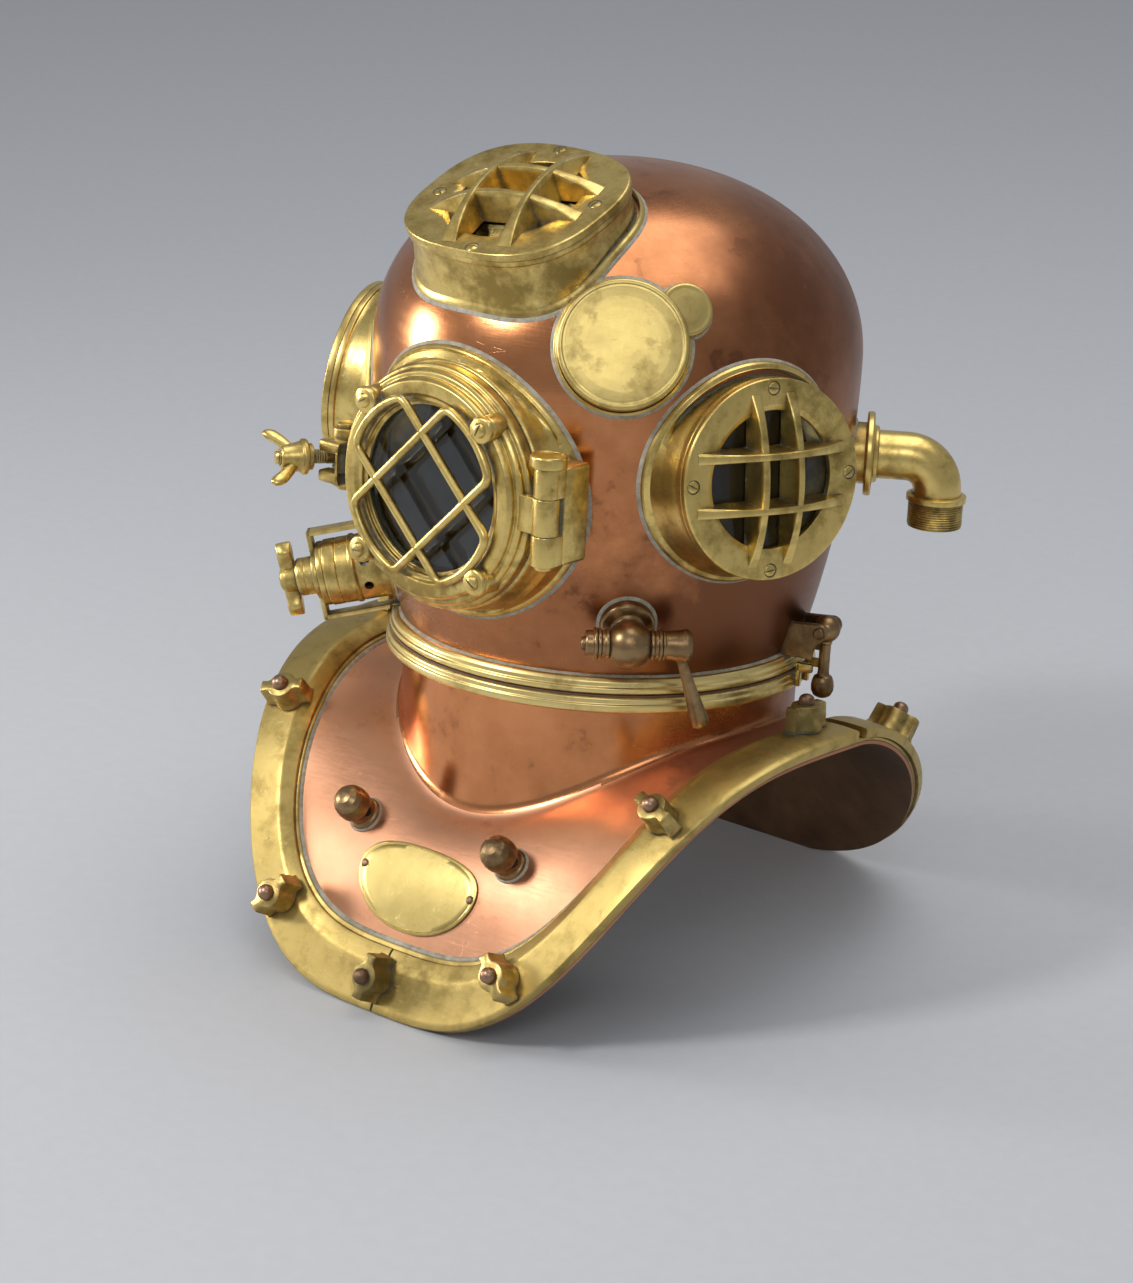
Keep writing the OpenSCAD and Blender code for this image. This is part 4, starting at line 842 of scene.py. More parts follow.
# %% Angles at even steps along the rim
def even_angles(start, end, count):
    """Angles from start to end whose points lie at even distances along the rim."""
    fine = np.linspace(start, end, 6000)
    points = np.array([sheet_at(float(a), 1) for a in fine])
    steps = np.linalg.norm(np.diff(points, axis=0), axis=1)
    run = np.concatenate([[0], np.cumsum(steps)])
    return [float(a) for a in np.interp(np.linspace(0, run[-1], count), run, fine)]


around = even_angles(0, 360, 241)[:-1]
print("rim angles", len(around), "front of the rim", [round(v, 1) for v in sheet_at(0, 1)])


# %% Stand a finished piece flat on the floor
def stand_flat(piece):
    """Trims what would lie under the floor, as the lobes' worn feet are flat."""
    choose(piece)
    opened()
    bpy.ops.mesh.bisect(plane_co=(0, 0, 0), plane_no=(0, 0, 1), use_fill=True, clear_inner=True)
    closed()


# %% Skin of the breastplate
bend = 0.06


def sheet_ring(a):
    """One cross-section: down the outside of the neck, round the crease to the rim, and back inside."""
    out = out_of(sheet_at(a, 1))
    corner = sheet_at(a, 0)
    neck_foot = corner + Vector((0, 0, 7))
    bend_end = sheet_at(a, bend)
    neck_top = out * neck_radius + Vector((0, 0, -5.4))
    line = [neck_top.lerp(neck_foot, i / 6) for i in range(6)]
    normals = [out] * 6
    for i in range(7):
        k = i / 6
        line.append(neck_foot * (1 - k) ** 2 + corner * (2 * k * (1 - k)) + bend_end * k * k)
        normals.append(out.lerp(sheet_normal(a, bend), k).normalized())
    for i in range(1, 35):
        t = bend + 0.94 * i / 34
        line.append(sheet_at(a, t))
        normals.append(sheet_normal(a, t))
    inside = [point - normal * thickness for point, normal in zip(line, normals)]
    return line + inside[::-1]


plate = skin([sheet_ring(a) for a in around], along=True)
for slot in ("copper_satin", "copper", "dark_copper"):
    plate.data.materials.append(finishes[slot])
for polygon in plate.data.polygons:
    x, y, z = polygon.center
    inside = polygon.normal.dot(Vector((x, y, 60))) < 0
    neck = hypot(x, y) < neck_radius + 2.5
    polygon.material_index = 2 if inside else 1 if neck else 0
settle(plate, "breastplate_copper", "copper_satin", "breastplate", "breastplate_shell", smooth=42)
stand_flat(plate)
print("breastplate faces", len(plate.data.polygons))

# %% [markdown]
# ## The brass rim and the brails
# A thin brass rim is soldered to the copper, and four heavy brails clamp the suit's collar on it. A
# brail is flat outside and slopes down on its inner side. Each is a skin over the same cross-section,
# carried along the rim. A line of pale solder shows inside the rim.

# %% Rim and solder line
rim_section = [
    (0.0, 0.4), (0.1, 2.0), (0.7, 2.5), (14, 2.5), (28, 2.5), (41.8, 2.5), (42.8, 1.9), (43, 0.4),
    (32, 0.35), (21, 0.35), (10, 0.35),
]
rim = carried(rim_section, around, along=True)
settle(rim, "brass_rim", "brass_brail", "breastplate", "breastplate_rim")
stand_flat(rim)
bead_section = [(42.6, 0.0), (42.8, 1.3), (43.6, 1.5), (44.5, 1.1), (45.4, 0.4), (45.8, 0.0), (44.5, -0.5)]
bead = carried(bead_section, around, along=True)
settle(bead, "rim_solder", "brass", "breastplate", finish="solder")
print("rim", len(rim.data.polygons))

# %% Brails
brail_top = [
    (-2, 3.0), (-2, 7.4), (-1.7, 8.5), (-0.7, 9.0), (3, 9), (8, 9), (13, 9), (18, 9), (23, 9),
    (26.6, 9), (28.4, 8.8), (30.4, 8.1), (34.5, 6.5), (38.2, 5.1), (39.6, 4.4), (40, 3.6), (40, 3.0),
]
brail_section = brail_top + [(33, 2.95), (26, 2.95), (19, 2.95), (12, 2.95), (5, 2.95)]
brails = ("brail_front_left", "brail_back_left", "brail_back_right", "brail_front_right")
for i, name in enumerate(brails):
    strip = carried(brail_section, even_angles(90 * i + 0.25, 90 * i + 89.75, 64))
    settle(strip, name + "_strip", "brass_brail", "breastplate", name, smooth=30)
    stand_flat(strip)
print("brails", len(brails))

# %% [markdown]
# ## Studs and nuts
# Twelve copper studs stand up through the brails. Their nuts are tall castings with two ears for the
# spanner. One nut is modelled as a stack of the same outline, a little wider at its foot, and copied
# to every stud; each copy turns its ears across the brail, or along it on the shoulders.


# %% One nut and one stud
def nut_outline(grow):
    """Round body with two ears, as points."""
    body, half_ear, reach = 9.4 + grow, 3.7 + grow, 14.6 + grow
    edge = degrees(asin((half_ear + 0.4) / body))
    side = [
        (reach, 0.0), (reach, half_ear * 0.55), (reach - 0.25, half_ear + 0.35),
        (reach - 1.0, half_ear + 0.45), (body + 1.2, half_ear), (body * 0.985, half_ear + 0.5),
    ]
    for i in range(6):
        angle = radians(edge + 5 + (90 - edge - 5) * i / 5)
        side.append((body * cos(angle), body * sin(angle)))
    half = side + [(-x, y) for x, y in reversed(side[:-1])]
    return half + [(x, -y) for x, y in reversed(half[1:-1])]


heights = ((0, 0.55), (0.7, 0.75), (2.2, 0.6), (3.2, 0.1), (8, 0), (14.6, -0.2), (15.6, -0.45), (16, -1.1))
nut = skin([[(x, y, height) for x, y in nut_outline(grow)] for height, grow in heights])
thread = [(0, 0), (5.0, 0), *threaded(14, (5.0, 0.3), (4.6, 0.9), (5.0, 1.5))]
thread += [(5.0, 24.6), (4.7, 26.2), (3.9, 27.4), (2.6, 28.3), (1.3, 28.7), (0, 28.8)]
stud = turned(thread, steps=24, soft=0)

# %% Copies on the rim
sides = [31, 62, 87, 107, 142]
stud_angles = [0, 180] + sides + [360 - a for a in sides]
nuts = []
studs = []
for i, a in enumerate(stud_angles):
    along_rim = a in (87, 360 - 87)
    turn = (0 if along_rim else 90) + (i * 37 % 13 - 6)
    nuts.append(copied(nut, on_stud(a, 9.3) @ swung("Z", turn)))
    studs.append(copied(stud, on_stud(a, 2.8)))
bpy.data.objects.remove(nut)
bpy.data.objects.remove(stud)
settle(joined(*nuts), "nuts", "brass", "breastplate", "brail_nuts", finish="nut_brass", smooth=35)
settle(joined(*studs), "studs", "stud_copper", "breastplate", "brail_studs", smooth=50)
print("nuts", len(nuts))

# %% [markdown]
# ## Neck rings
# The bonnet turns into the breastplate on an interrupted thread. From outside one sees two turned
# rings with their mouldings, a leather washer's edge between them, and solder where they meet copper.

# %% Turned neck rings
def lugs(inside, outside, low, high):
    """Four lugs of an interrupted thread, each 42 degrees wide."""
    pieces = []
    for i in range(4):
        rings = []
        for turn in np.linspace(i * 90 + 24, i * 90 + 66, 13):
            c, s = cos(radians(turn)), sin(radians(turn))
            corners = ((inside, low), (outside, low), (outside, high), (inside, high))
            rings.append([(r * c, r * s, z) for r, z in corners])
        pieces.append(skin(rings))
    return pieces


lower_ring = [
    (124.1, -9.7), (133.6, -9.7), (135, -8.4), (135, -4.6), (133.9, -3.7), (133.9, -0.9), (132.9, 0),
    (126, 0), (126, -5.2), (124.1, -5.2),
]
# Both rings take the brass that is painted lighter, for the light they catch from the front.
lower = joined(turned(lower_ring, 192, 0.7), *lugs(121.3, 126.5, -2.1, -0.3))
settle(lower, "lower_neck_ring", "brass", "breastplate", "breastplate_ring", finish="ring_brass")
upper_ring = [
    (116.8, -6.5), (120.5, -6.5), (120.5, 1.5), (131.6, 1.5), (133, 2.6), (133, 5.3), (131.7, 6.2),
    (131.6, 8.7), (130, 11), (126.6, 11.2), (121.5, 11),
]
upper = joined(turned(upper_ring, 192, 0.7), *lugs(120.1, 125.7, -4.5, -2.4))
settle(upper, "upper_neck_ring", "brass", "bonnet", "bonnet_ring", finish="ring_brass")
solder_lines = (("upper", 126.9, 11.6, "bonnet"), ("lower", 124.6, -10.2, "breastplate"))
for name, radius, height, body in solder_lines:
    section = [(radius - 1.8, height - 0.9), (radius + 1.6, height - 0.9), (radius - 1.2, height + 1.3)]
    line = turned(section, 192, 0.6)
    for vertex in line.data.vertices:
        angle = atan2(vertex.co.y, vertex.co.x)
        vertex.co *= 1 + 0.0016 * sin(angle * 23) * sin(angle * 7 + 1)
    settle(line, name + "_neck_solder", "brass", body, finish="solder")
print("neck rings done")

# %% [markdown]
# ## Flanges on the dome
# A cast window frame was filed to sit on the round copper and then soldered. So its outline is turned
# like any other, and then the points that are marked as grounded are lowered onto the bonnet's face.


# %% Turned pieces that stand on the bonnet
ground = -1000.0
foot_top = 3.3


def grounded(*points):
    """Points of an outline whose heights are counted from the copper."""
    return [(radius, ground + height) for radius, height in points]


def seated(profile, at, steps, soft, oval=None, wall=None):
    """Spins a profile and lowers its grounded points onto the copper.

    oval, a width, a depth and a start, stretches what lies beyond the radius start to a rounded box.
    Beyond the radius wall, no other point lies deeper than the top of the foot."""
    piece = turned(profile, steps, soft)
    count = len(piece.data.vertices)
    points = np.empty(count * 3)
    piece.data.vertices.foreach_get("co", points)
    x, y, z = points.reshape(-1, 3).T
    if oval:
        wide, deep, start = oval
        reach = np.hypot(x, y)
        angle = np.arctan2(y, x)
        power = 2.7
        box = np.abs(np.cos(angle) / wide) ** power + np.abs(np.sin(angle) / deep) ** power
        line = box ** (-1 / power)
        part = np.clip((reach - start) / (wide - start), 0, 1)
        reach = reach + (line - wide) * part
        x[:] = reach * np.cos(angle)
        y[:] = reach * np.sin(angle)
    low = z < ground / 2
    copper_line = bonnet_depth(at, x, y)
    if wall:
        outer = ~low & (np.hypot(x, y) > wall)
        z[outer] = np.maximum(z[outer], copper_line[outer] + foot_top)
    z[:] = np.where(low, z - ground + copper_line, z)
    piece.data.vertices.foreach_set("co", points)
    return piece


def solder(name, at, radius, size, oval=None):
    """A thin uneven line of solder and dried polish where a flange meets the copper of the bonnet."""
    line = grounded(
        (radius - size, -0.6),
        (radius + size * 1.5, -0.3),
        (radius + size, size * 0.5),
        (radius, size * 0.9),
        (radius - size, size),
    )
    settle(seated(line, at, 120, 0, oval), name + "_solder", "brass", "bonnet", finish="solder", at=at)


# %% Face window frame
flange = grounded((62, -thickness), (80.8, 0.4), (83.2, 0.3), (83.6, 1.6), (82.4, 3.0), (80.9, 3.6))
flange += [(79.6, 137), (77.6, 142), (76.2, 148), (75.4, 152.9), (74, 154.3), (62, 154.3)]
settle(seated(flange, face, 144, 0.6, wall=74.8), "face_flange", "brass", "bonnet", "face_frame", at=face)
solder("face", face, 83.6, 1.3)

# %% [markdown]
# ## The door of the face window
# The door is a heavy ring with stepped mouldings. It carries its pane, a hinge knuckle, four small
# bosses and a guard of crossed rods. The ring is turned, and the bosses and the knuckle are joined
# to it as one casting.

# %% Door ring
door_back = 155.0
door_ring = [
    (55.8, door_back), (73.4, door_back), (74, 155.7), (74, 161), (72.6, 162.5), (71, 162.6),
    (71, 165), (69.2, 167), (66.5, 167), (66.5, 169.5), (64.6, 172), (57, 172), (55.2, 170),
    (52.6, 170), (52.4, 167.6), (50, 167.4), (50, 165), (55.8, 165),
]
casting = turned(door_ring, 144, 0.7)
boss_circle = 64.8
boss_angles = (45, 135, 225, 315)
bosses = []
for turn in boss_angles:
    knob = turned([(0, 159), (8.6, 159), (7.9, 172.4), (7.0, 174), (0, 174)], 32, 0.8)
    bosses.append(put(knob, moved(boss_circle * cos(radians(turn)), boss_circle * sin(radians(turn)), 0)))
hinge = moved(84.5, -160.5, 0)
knuckle = put(turned([(4.05, 111), (8, 111), (8, 133), (4.05, 133)], 40, 0.6), hinge)
leaf = block((66, -166.8, 111), (84.5, -156.2, 133), 1.2)
into_face = face.inverted()
casting = joined(casting, *bosses, put(knuckle, into_face), put(leaf, into_face))
settle(casting, "door_casting", "brass", "face_door", "door_ring", at=face)
print("door casting faces", len(casting.data.polygons))

# %% Guard of crossed rods
guard_height = 175.9


def softened(path):
    """The closed path with its corners cut three times, which makes them round."""
    for _ in range(3):
        cut_path = []
        for here, after in zip(path, path[1:] + path[:1]):
            cut_path.append(here.lerp(after, 0.25))
            cut_path.append(here.lerp(after, 0.75))
        path = cut_path
    return path


def guard_loop(turn):
    """A pair of rods joined by rounded ends that follow the ring."""
    half, reach = 25.0, 55.8
    end = sqrt(reach**2 - half**2)
    arc = asin(half / reach)
    around_end = [(reach * cos(arc * k), reach * sin(arc * k)) for k in (0.62, 0.2, -0.2, -0.62)]
    flat = [
        (-end + 11, half), (0, half), (end - 11, half), (end, half), *around_end, (end, -half),
        (end - 11, -half), (0, -half), (-end + 11, -half), (-end, -half),
    ]
    flat += [(-x, y) for x, y in reversed(around_end)] + [(-end, half)]
    path = [Vector((x, y, 0)) for x, y in flat]
    at = moved(0, 0, guard_height) @ swung("Z", turn)
    return rod([at @ point for point in softened(path)], 2.7, sides=14, loop=True)


guard = [guard_loop(45), guard_loop(135)]
on_bosses = [swung("Z", turn) @ moved(boss_circle, 0, 0) for turn in boss_angles]
lobe_angles = np.linspace(0, tau, 36, endpoint=False)
lobe = [(8.2 * cos(t) * (1 + 0.06 * cos(3 * t)), 8.2 * sin(t)) for t in lobe_angles]
layers = ((174.15, -0.4), (174.5, 0), (176.6, 0), (177.4, -0.4), (177.9, -1.3))
for at in on_bosses:
    ear = skin([[(x * (1 + g / 8), y * (1 + g / 8), z) for x, y in lobe] for z, g in layers])
    arm = block((-11, -4.2, 174.4), (0, 4.2, 177.6), 1.2)
    guard.append(put(joined(ear, arm), at))
settle(joined(*guard), "guard_rods", "brass", "face_door", "door_guard", at=face)


# %% Slotted screws
def screw(radius, top, crown, slot_width):
    """A round-headed screw with a cut slot. Its head ends at top, and its crown is the rounded part."""
    edge = top - crown
    head = [
        (0, edge - 1), (radius, edge - 1), (radius, edge), (radius * 0.82, top - 0.5),
        (radius * 0.45, top), (0, top),
    ]
    wide, half_slot = radius * 1.3, slot_width / 2
    slot = block((-wide, -half_slot, top - 1.0), (wide, half_slot, top + 2), 0.05, 1)
    return cut(turned(head, 28, 0.25), slot)


screws = []
for at, turn in zip(on_bosses, (20, 75, 140, 10)):
    screws.append(put(screw(4.6, 180.4, 2.2, 1.2), at @ swung("Z", turn)))
settle(joined(*screws), "guard_screws", "brass", "face_door", "door_guard_screws", at=face)
print("guard done")

# %% [markdown]
# ## Hinge and swing bolt
# The door turns on a pin between two knuckles at the diver's left of the window. At the other side a
# bolt swings in a clevis, and its wing nut presses a washer on the forked lug of the door.

# %% Hinge block, knuckles and pin
def barrel(low, high, soft):
    """A plain round knuckle, 16 mm across."""
    return turned([(0, low), (8, low), (8, high), (0, high)], 40, soft)


body_block = block((72.5, -153.6, 92.5), (93.5, -132.4, 151.5), 2.2, 3)
cut(body_block, borer(face, 76.4, 130, 60))
parts = [body_block]
for low, high in ((92.5, 110.7), (133.3, 151.5)):
    parts.append(put(barrel(low, high, 0.7), hinge))
    parts.append(block((77.0, -160.5, low), (92.5, -151.0, high), 0.9))
settle(joined(*parts), "hinge_casting", "brass", "bonnet", "hinge_block")
pin = [
    (0, 90), (5.2, 90), (5.4, 92.2), (4, 92.3), (4, 151.6), (10.6, 151.6), (11, 153), (11, 157.6),
    (10.4, 158.8), (8.8, 158.9), (8.4, 158.1), (0, 158.0),
]
settle(turned(pin, 40, 0.4), "hinge_rod", "brass", "bonnet", "hinge_pin", at=hinge)

# %% Lug, clevis and pin of the swing bolt
ring_space = [(0, 60), (74.2, 60), (74.2, 260), (0, 260)]
lug = [block((-90, -169, low), (-70, -159, high), 1.6, 3) for low, high in ((108, 115.2), (126.8, 134))]
lug.append(block((-76.5, -169, 109), (-70.5, -159, 133), 1.2))
for piece in lug:
    cut(piece, put(turned(ring_space, 96, 0), face))
lug = settle(joined(*lug), "forked_lug", "brass", "face_door", "door_lug")
print("lug faces", len(lug.data.polygons))
pivot = moved(-86, -149, 121)
cheeks = []
for low, high in ((-18, -5.4), (5.4, 18)):
    cheeks.append(joined(barrel(low, high, 0.8), block((-7.9, -0.5, low), (11, 12, high), 0.9)))
web = block((8.9, -4, -18), (13, 20, 18), 1.2)
back = block((-7.5, 8.9, -18), (12, 12.6, 18), 1.0)
settle(joined(*cheeks, web, back), "bolt_fork", "brass", "bonnet", "bolt_clevis", at=pivot)
bolt_pin = [
    (0, -20.6), (4, -20.6), (4.5, -20), (4.5, -18.2), (3, -18.1), (3, 18.1), (5.3, 18.1), (5.5, 20.2),
    (4.6, 21.1), (0, 21.2),
]
settle(turned(bolt_pin, 28, 0.3), "bolt_fork_pin", "brass", "bonnet", "bolt_pin", at=pivot)

# %% Swing bolt, washer and wing nut
along_bolt = pivot @ swung("Z", -33) @ swung("X", 90)
ridge = [(0, 0), (4.5, 0), (4.5, 12), *threaded(20, (4.5, 12.4), (4.05, 13.1), (4.5, 13.8))]
ridge += [(4.4, 42.4), (3.6, 43.6), (0, 44)]
shank = put(turned(ridge, 28, 0), along_bolt)
eye = turned([(3.05, -5), (8, -5), (8, 5), (3.05, 5)], 40, 0.7)
settle(joined(shank, put(eye, pivot)), "swing_bolt_turned", "brass", "swing_bolt", "swing_bolt", smooth=50)
washer = turned([(4.6, 20.8), (8.1, 20.8), (8.1, 23.8), (4.6, 23.8)], 40, 0.5)
settle(washer, "bolt_washer", "brass", "clamp_washer", "clamp_washer", at=along_bolt)
hub = [
    (4.6, 0), (10.6, 0), (11, 1), (11, 3), (9.6, 4), (8.6, 8), (7.6, 12.5), (7.2, 15.4), (6.4, 16.5),
    (4.6, 16.5),
]
wings = [turned(hub, 40, 0.5)]
stations = (
    (5.0, 8.5, 3.6, 2.9), (8.5, 11.4, 4.4, 2.7), (12, 14.4, 5.2, 2.5), (15, 17.4, 5.9, 2.4),
    (17.6, 19.3, 5.6, 2.2), (19.4, 20.2, 4.4, 1.9), (20.4, 20.6, 2.6, 1.3),
)
turns = [tau * k / 20 for k in range(20)]
rings = []
for out, height, tall, thick in stations:
    rings.append([(out, thick * cos(t), height + tall * sin(t)) for t in turns])
for turn in (142, 322):
    wings.append(put(skin(rings), swung("Z", turn)))
nut_place = along_bolt @ moved(0, 0, 24.1)
settle(joined(*wings), "wing_nut_cast", "brass", "wing_nut", "wing_nut", at=nut_place, smooth=50)
print("hinge and bolt done")

# %% [markdown]
# ## Side and top windows
# Each fixed window is a flange on the dome, a pane, and a screwed plate with a grille of arched bars.
# The bars are wide and hollow-sided at their foot and narrow at their ridge, which is what makes the
# little pointed shapes where they cross.


# %% A grille bar
def bar(offset, foot):
    """A bar along Y, offset across, that arches from one side of the plate to the other."""
    reach, rise, base, ridge_width = 51.0, 14.0, -4.4, 4.0
    arch = (reach**2 + rise**2) / (2 * rise)
    rings = []
    for i in range(25):
        y = -reach + 2 * reach * i / 24
        top = max(rise - arch + sqrt(arch**2 - y**2), 0.25)
        section = []
        for k in range(6):
            height = base + (top - 0.7 - base) * k / 5
            u = (height - base) / (rise + 5)
            section.append((ridge_width / 2 + (foot - ridge_width) / 2 * (1 - u) ** 1.5, height))
        width = section[-1][0]
        section += [(width * 0.82, top - 0.18), (width * 0.5, top)]
        left = [(offset - w, y, h) for w, h in reversed(section)]
        rings.append([(offset + w, y, h) for w, h in section] + left)
    return skin(rings)


def window_grille(name, at, radius, foot, gaps, skew, screw_turns, oval=None):
    """The screwed plate of a fixed window, with two bars each way."""
    profile = [
        (41, -5), (radius, -5), (radius, -0.9), (radius - 0.9, -0.1), (radius - 4, 0), (44.4, 0),
        (41, -0.9),
    ]
    plate_piece = seated(profile, at, 144, 0.5, oval)
    pieces = [plate_piece]
    for side in (-0.5, 0.5):
        pieces.append(put(bar(side * gaps[0], foot), swung("Z", skew)))
        pieces.append(put(bar(side * gaps[1], foot), swung("Z", skew) @ swung("Z", 90)))
    heads = []
    for i, turn in enumerate(screw_turns):
        on_plate = swung("Z", skew) @ swung("Z", 90 * i) @ moved(54, 0, 0)
        cut(plate_piece, borer(on_plate, 4.3, 0, 2.2))
        heads.append(put(screw(4.0, 0.5, 1.2, 1.0), on_plate @ swung("Z", turn)))
    settle(joined(*pieces), name + "_grille_cast", "brass", "bonnet", name + "_grille", at=at, smooth=34)
    settle(joined(*heads), name + "_grille_screws", "brass", "bonnet", at=at)


# %% Window flanges
def window_flange(name, at, radius, foot, wall, oval=None):
    """The flange of a fixed window, from its foot on the copper to the seat of the plate and the pane."""
    outline = grounded((44.8, -thickness), *foot) + wall + [(50.3, -5.2), (50.3, -15.3), (45, -15.3)]
    settle(seated(outline, at, 144, 0.5, oval), name + "_flange", "brass", "bonnet", name + "_frame", at=at)
    solder(name, at, radius, 1.2, oval)


side_foot = ((67.0, 0.2), (67.3, 2.2), (66.2, 3.9), (63.5, 4.4))
side_wall = [(60.6, -24), (59.4, -16), (58.6, -12), (58.6, -9.4), (59.8, -8.6), (59.8, -5.2)]
window_flange("left", left_window, 67.2, side_foot, side_wall)
window_flange("right", right_window, 67.2, side_foot, side_wall)
window_grille("left", left_window, 60, 8, (24, 32), 0, (35, 80, 150, 100))
window_grille("right", right_window, 60, 8, (24, 32), 0, (60, 10, 120, 80))
top_oval = (66.0, 58.5, 52.0)
top_foot = ((69.6, 0.2), (69.8, 1.4), (68.9, 2.6), (67.4, 3.4))
top_wall = [(66.6, -30), (65.2, -22), (64.3, -16), (64.2, -9.4), (65.4, -8.6), (65.4, -5.2)]
window_flange("top", top_window, 69.6, top_foot, top_wall, top_oval)
window_grille("top", top_window, 66, 14, (38, 28), 10, (70, 20, 130, 95), top_oval)
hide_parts("grille_screws")
print("windows done")

# %% [markdown]
# ## Telephone cup and its boss
# The cup is a shallow spun box soldered on the crown's shoulder. Its thin face bulges a little and has
# been dented, so the face is a crowned outline whose points are pressed in here and there.

# %% Cup and boss
cup = [
    (34, -12), *grounded((38.2, 0.2), (40.2, 0.2), (40.3, 1.2), (38.6, 2.0)), (38, -6), (38, 4),
    (38.6, 5.2), (38.5, 7.2), (37.4, 8.4), (35.8, 8.6), (35.0, 8.2), (33.5, 8.5), (28, 9.3), (22, 9.9),
    (15, 10.4), (8, 10.7), (0, 10.8), (0, 6), (34, 6),
]
cup_piece = seated(cup, telephone, 120, 0.5)
dents = ((-14, -6, 11, 1.3), (10, -16, 9, 0.9), (4, 12, 13, 0.8))
for vertex in cup_piece.data.vertices:
    x, y, z = vertex.co
    if z > 8 and hypot(x, y) < 34:
        for dx, dy, width, depth in dents:
            vertex.co.z -= depth * exp(-((x - dx) ** 2 + (y - dy) ** 2) / (2 * width * width))
settle(cup_piece, "cup_spun", "brass", "bonnet", "telephone_cup", finish="plate", at=telephone, smooth=45)
solder("cup", telephone, 40.4, 1.2)
knob = [(0, -3.5), (16, -3.5), (16, 4.4), (15.4, 5.6), (14.3, 6), (12.6, 5.9), (8, 6.5), (0, 6.9)]
boss_piece = turned(knob, 64, 0.4)
settle(boss_piece, "boss_turned", "brass", "bonnet", "cup_boss", finish="plate", at=boss, smooth=45)
solder("boss", boss, 16.4, 0.9)

# %% [markdown]
# ## Spitcock
# The diver takes in a mouthful of water through this small cock, or lets air out. A brown ball holds a
# cross plug with a nut at one end and a tapered lever at the other.

# %% Body of the spitcock
def ball_of(radius, segments, rings, height=0):
    choose()
    place = (0, 0, height)
    bpy.ops.mesh.primitive_uv_sphere_add(segments=segments, ring_count=rings, radius=radius, location=place)
    piece = bpy.context.object
    bpy.ops.object.transform_apply(location=True)
    return piece


foot = [
    *grounded((0, -1.4), (15.6, -1.4), (16.6, 0.4)), (16.4, 2.6), (15.4, 4.2), (13.4, 4.8),
    (10.5, 5.4), (9, 7), (8.4, 12), (0, 12),
]
ball = ball_of(14.4, 56, 36, 20)
sideways = moved(0, 0, 20) @ swung("Y", 90)
neck = [
    (6.1, -19), (9.4, -19), (9.6, -17.4), (8.2, -16.6), (8.2, -14.9), (8.9, -14.2), (8.9, -12.6),
    (7.6, -12), (7.6, 12), (8.9, 12.6), (8.9, 14.2), (8.2, 14.9), (8.2, 16.6), (9.6, 17.4), (9.4, 19),
    (6.1, 19),
]
cross = put(turned(neck, 40, 0.35), sideways)
cut(ball, borer(moved(0, -15, 20) @ swung("X", 90), 4.2, 0, 20))
body = joined(seated(foot, spitcock, 56, 0.6), ball, cross)
settle(body, "spitcock_ball", "bronze", "bonnet", "spitcock_body", at=spitcock)
solder("spitcock", spitcock, 16.6, 1.3)

# %% Plug and lever
plug_line = [
    (0, -28.8), (3.2, -28.8), (4, -28), (4, -26.4), (7.4, -26.3), (8, -25.6), (8, -21.9), (9.6, -21.3),
    (9.8, -20.6), (9.6, -19.4), (6, -19.3), (6, 19.2), (8.6, 19.4), (8.9, 20.2), (8.5, 21.4),
    (8.7, 25), (9.5, 31.5), (10.1, 33.2), (9.9, 34.6), (7.9, 36.6), (6.2, 37.2), (0, 37.3),
]
spindle = put(turned(plug_line, 44, 0.4), sideways)
lever_line = [
    (0, -4), (3.4, -4), (4.4, 8.2), (3.3, 9.4), (3.0, 11), (3.2, 18), (3.8, 29), (4.7, 41),
    (5.4, 48.5), (5.7, 52.5), (5.4, 55.8), (4.3, 57.8), (2.4, 58.5), (0, 58.6),
]
lever_place = spitcock @ moved(28.3, 0, 20) @ swung("X", -7.5) @ swung("Z", 19) @ swung("X", 90)
lever = turned(lever_line, 32, 0.5)
settle(spindle, "spitcock_spindle", "bronze", "spitcock_plug", "spitcock_plug", at=spitcock, smooth=45)
settle(lever, "lever_turned", "bronze", "spitcock_plug", "spitcock_lever", at=lever_place, smooth=50)
print("spitcock done")

# %% [markdown]
# ## Exhaust valve
# Air leaves through the drum at the diver's right. A strap over the drum guards its neck, and a small
# handle on the end sets the spring.

# %% Drum, neck and strap
drum = [
    *grounded((12, -1.5), (23.6, -1), (24.4, 0.6), (24, 2.4), (21.6, 3.6)), (21, 8), (21, 20.6),
    (20.4, 21.1), (21, 21.6), (21.8, 22.6), (21.8, 24.6), (21, 25.2), (21, 33), (20.4, 33.5), (21, 34),
    (21, 40.6), (20.2, 42), (18.2, 42), (18.2, 9), (12, 9),
]
drum_piece = seated(drum, exhaust, 96, 0.35)
holes = [swung("Z", 45 * i + 22.5) @ moved(20, 0, 15) @ swung("Y", 90) for i in range(8)]
cut(drum_piece, joined(*[borer(at, 3.0, 0, 10) for at in holes]))
settle(drum_piece, "exhaust_drum", "brass", "bonnet", "exhaust_body", at=exhaust)
solder("exhaust", exhaust, 24.4, 1.2)
cap = [
    (5.1, 42), (20.2, 42), (20.4, 43), (20.2, 45.6), (18, 46.2), (14.2, 46.2), (12.4, 49), (12, 50),
    (12, 55), (11.6, 55.4), (12, 55.8), (12, 59.4), (10.6, 61), (5.1, 61),
]
settle(turned(cap, 64, 0.4), "exhaust_neck", "brass", "bonnet", "exhaust_cap", at=exhaust)
neck_ring_space = [(0, 0), (133.4, 0), (133.4, 11.4), (0, 11.4)]
strap = []
for side in (-1, 1):
    foot_depth = float(bonnet_depth(exhaust, np.array([0.0]), np.array([side * 27.5]))[0])
    near, far = sorted((side * 26, side * 29))
    leg = block((-6, near, foot_depth - 1), (6, far, 49.4), 0.7)
    if side < 0:
        cut(leg, put(turned(neck_ring_space, 96, 0), exhaust.inverted()))
    strap.append(leg)
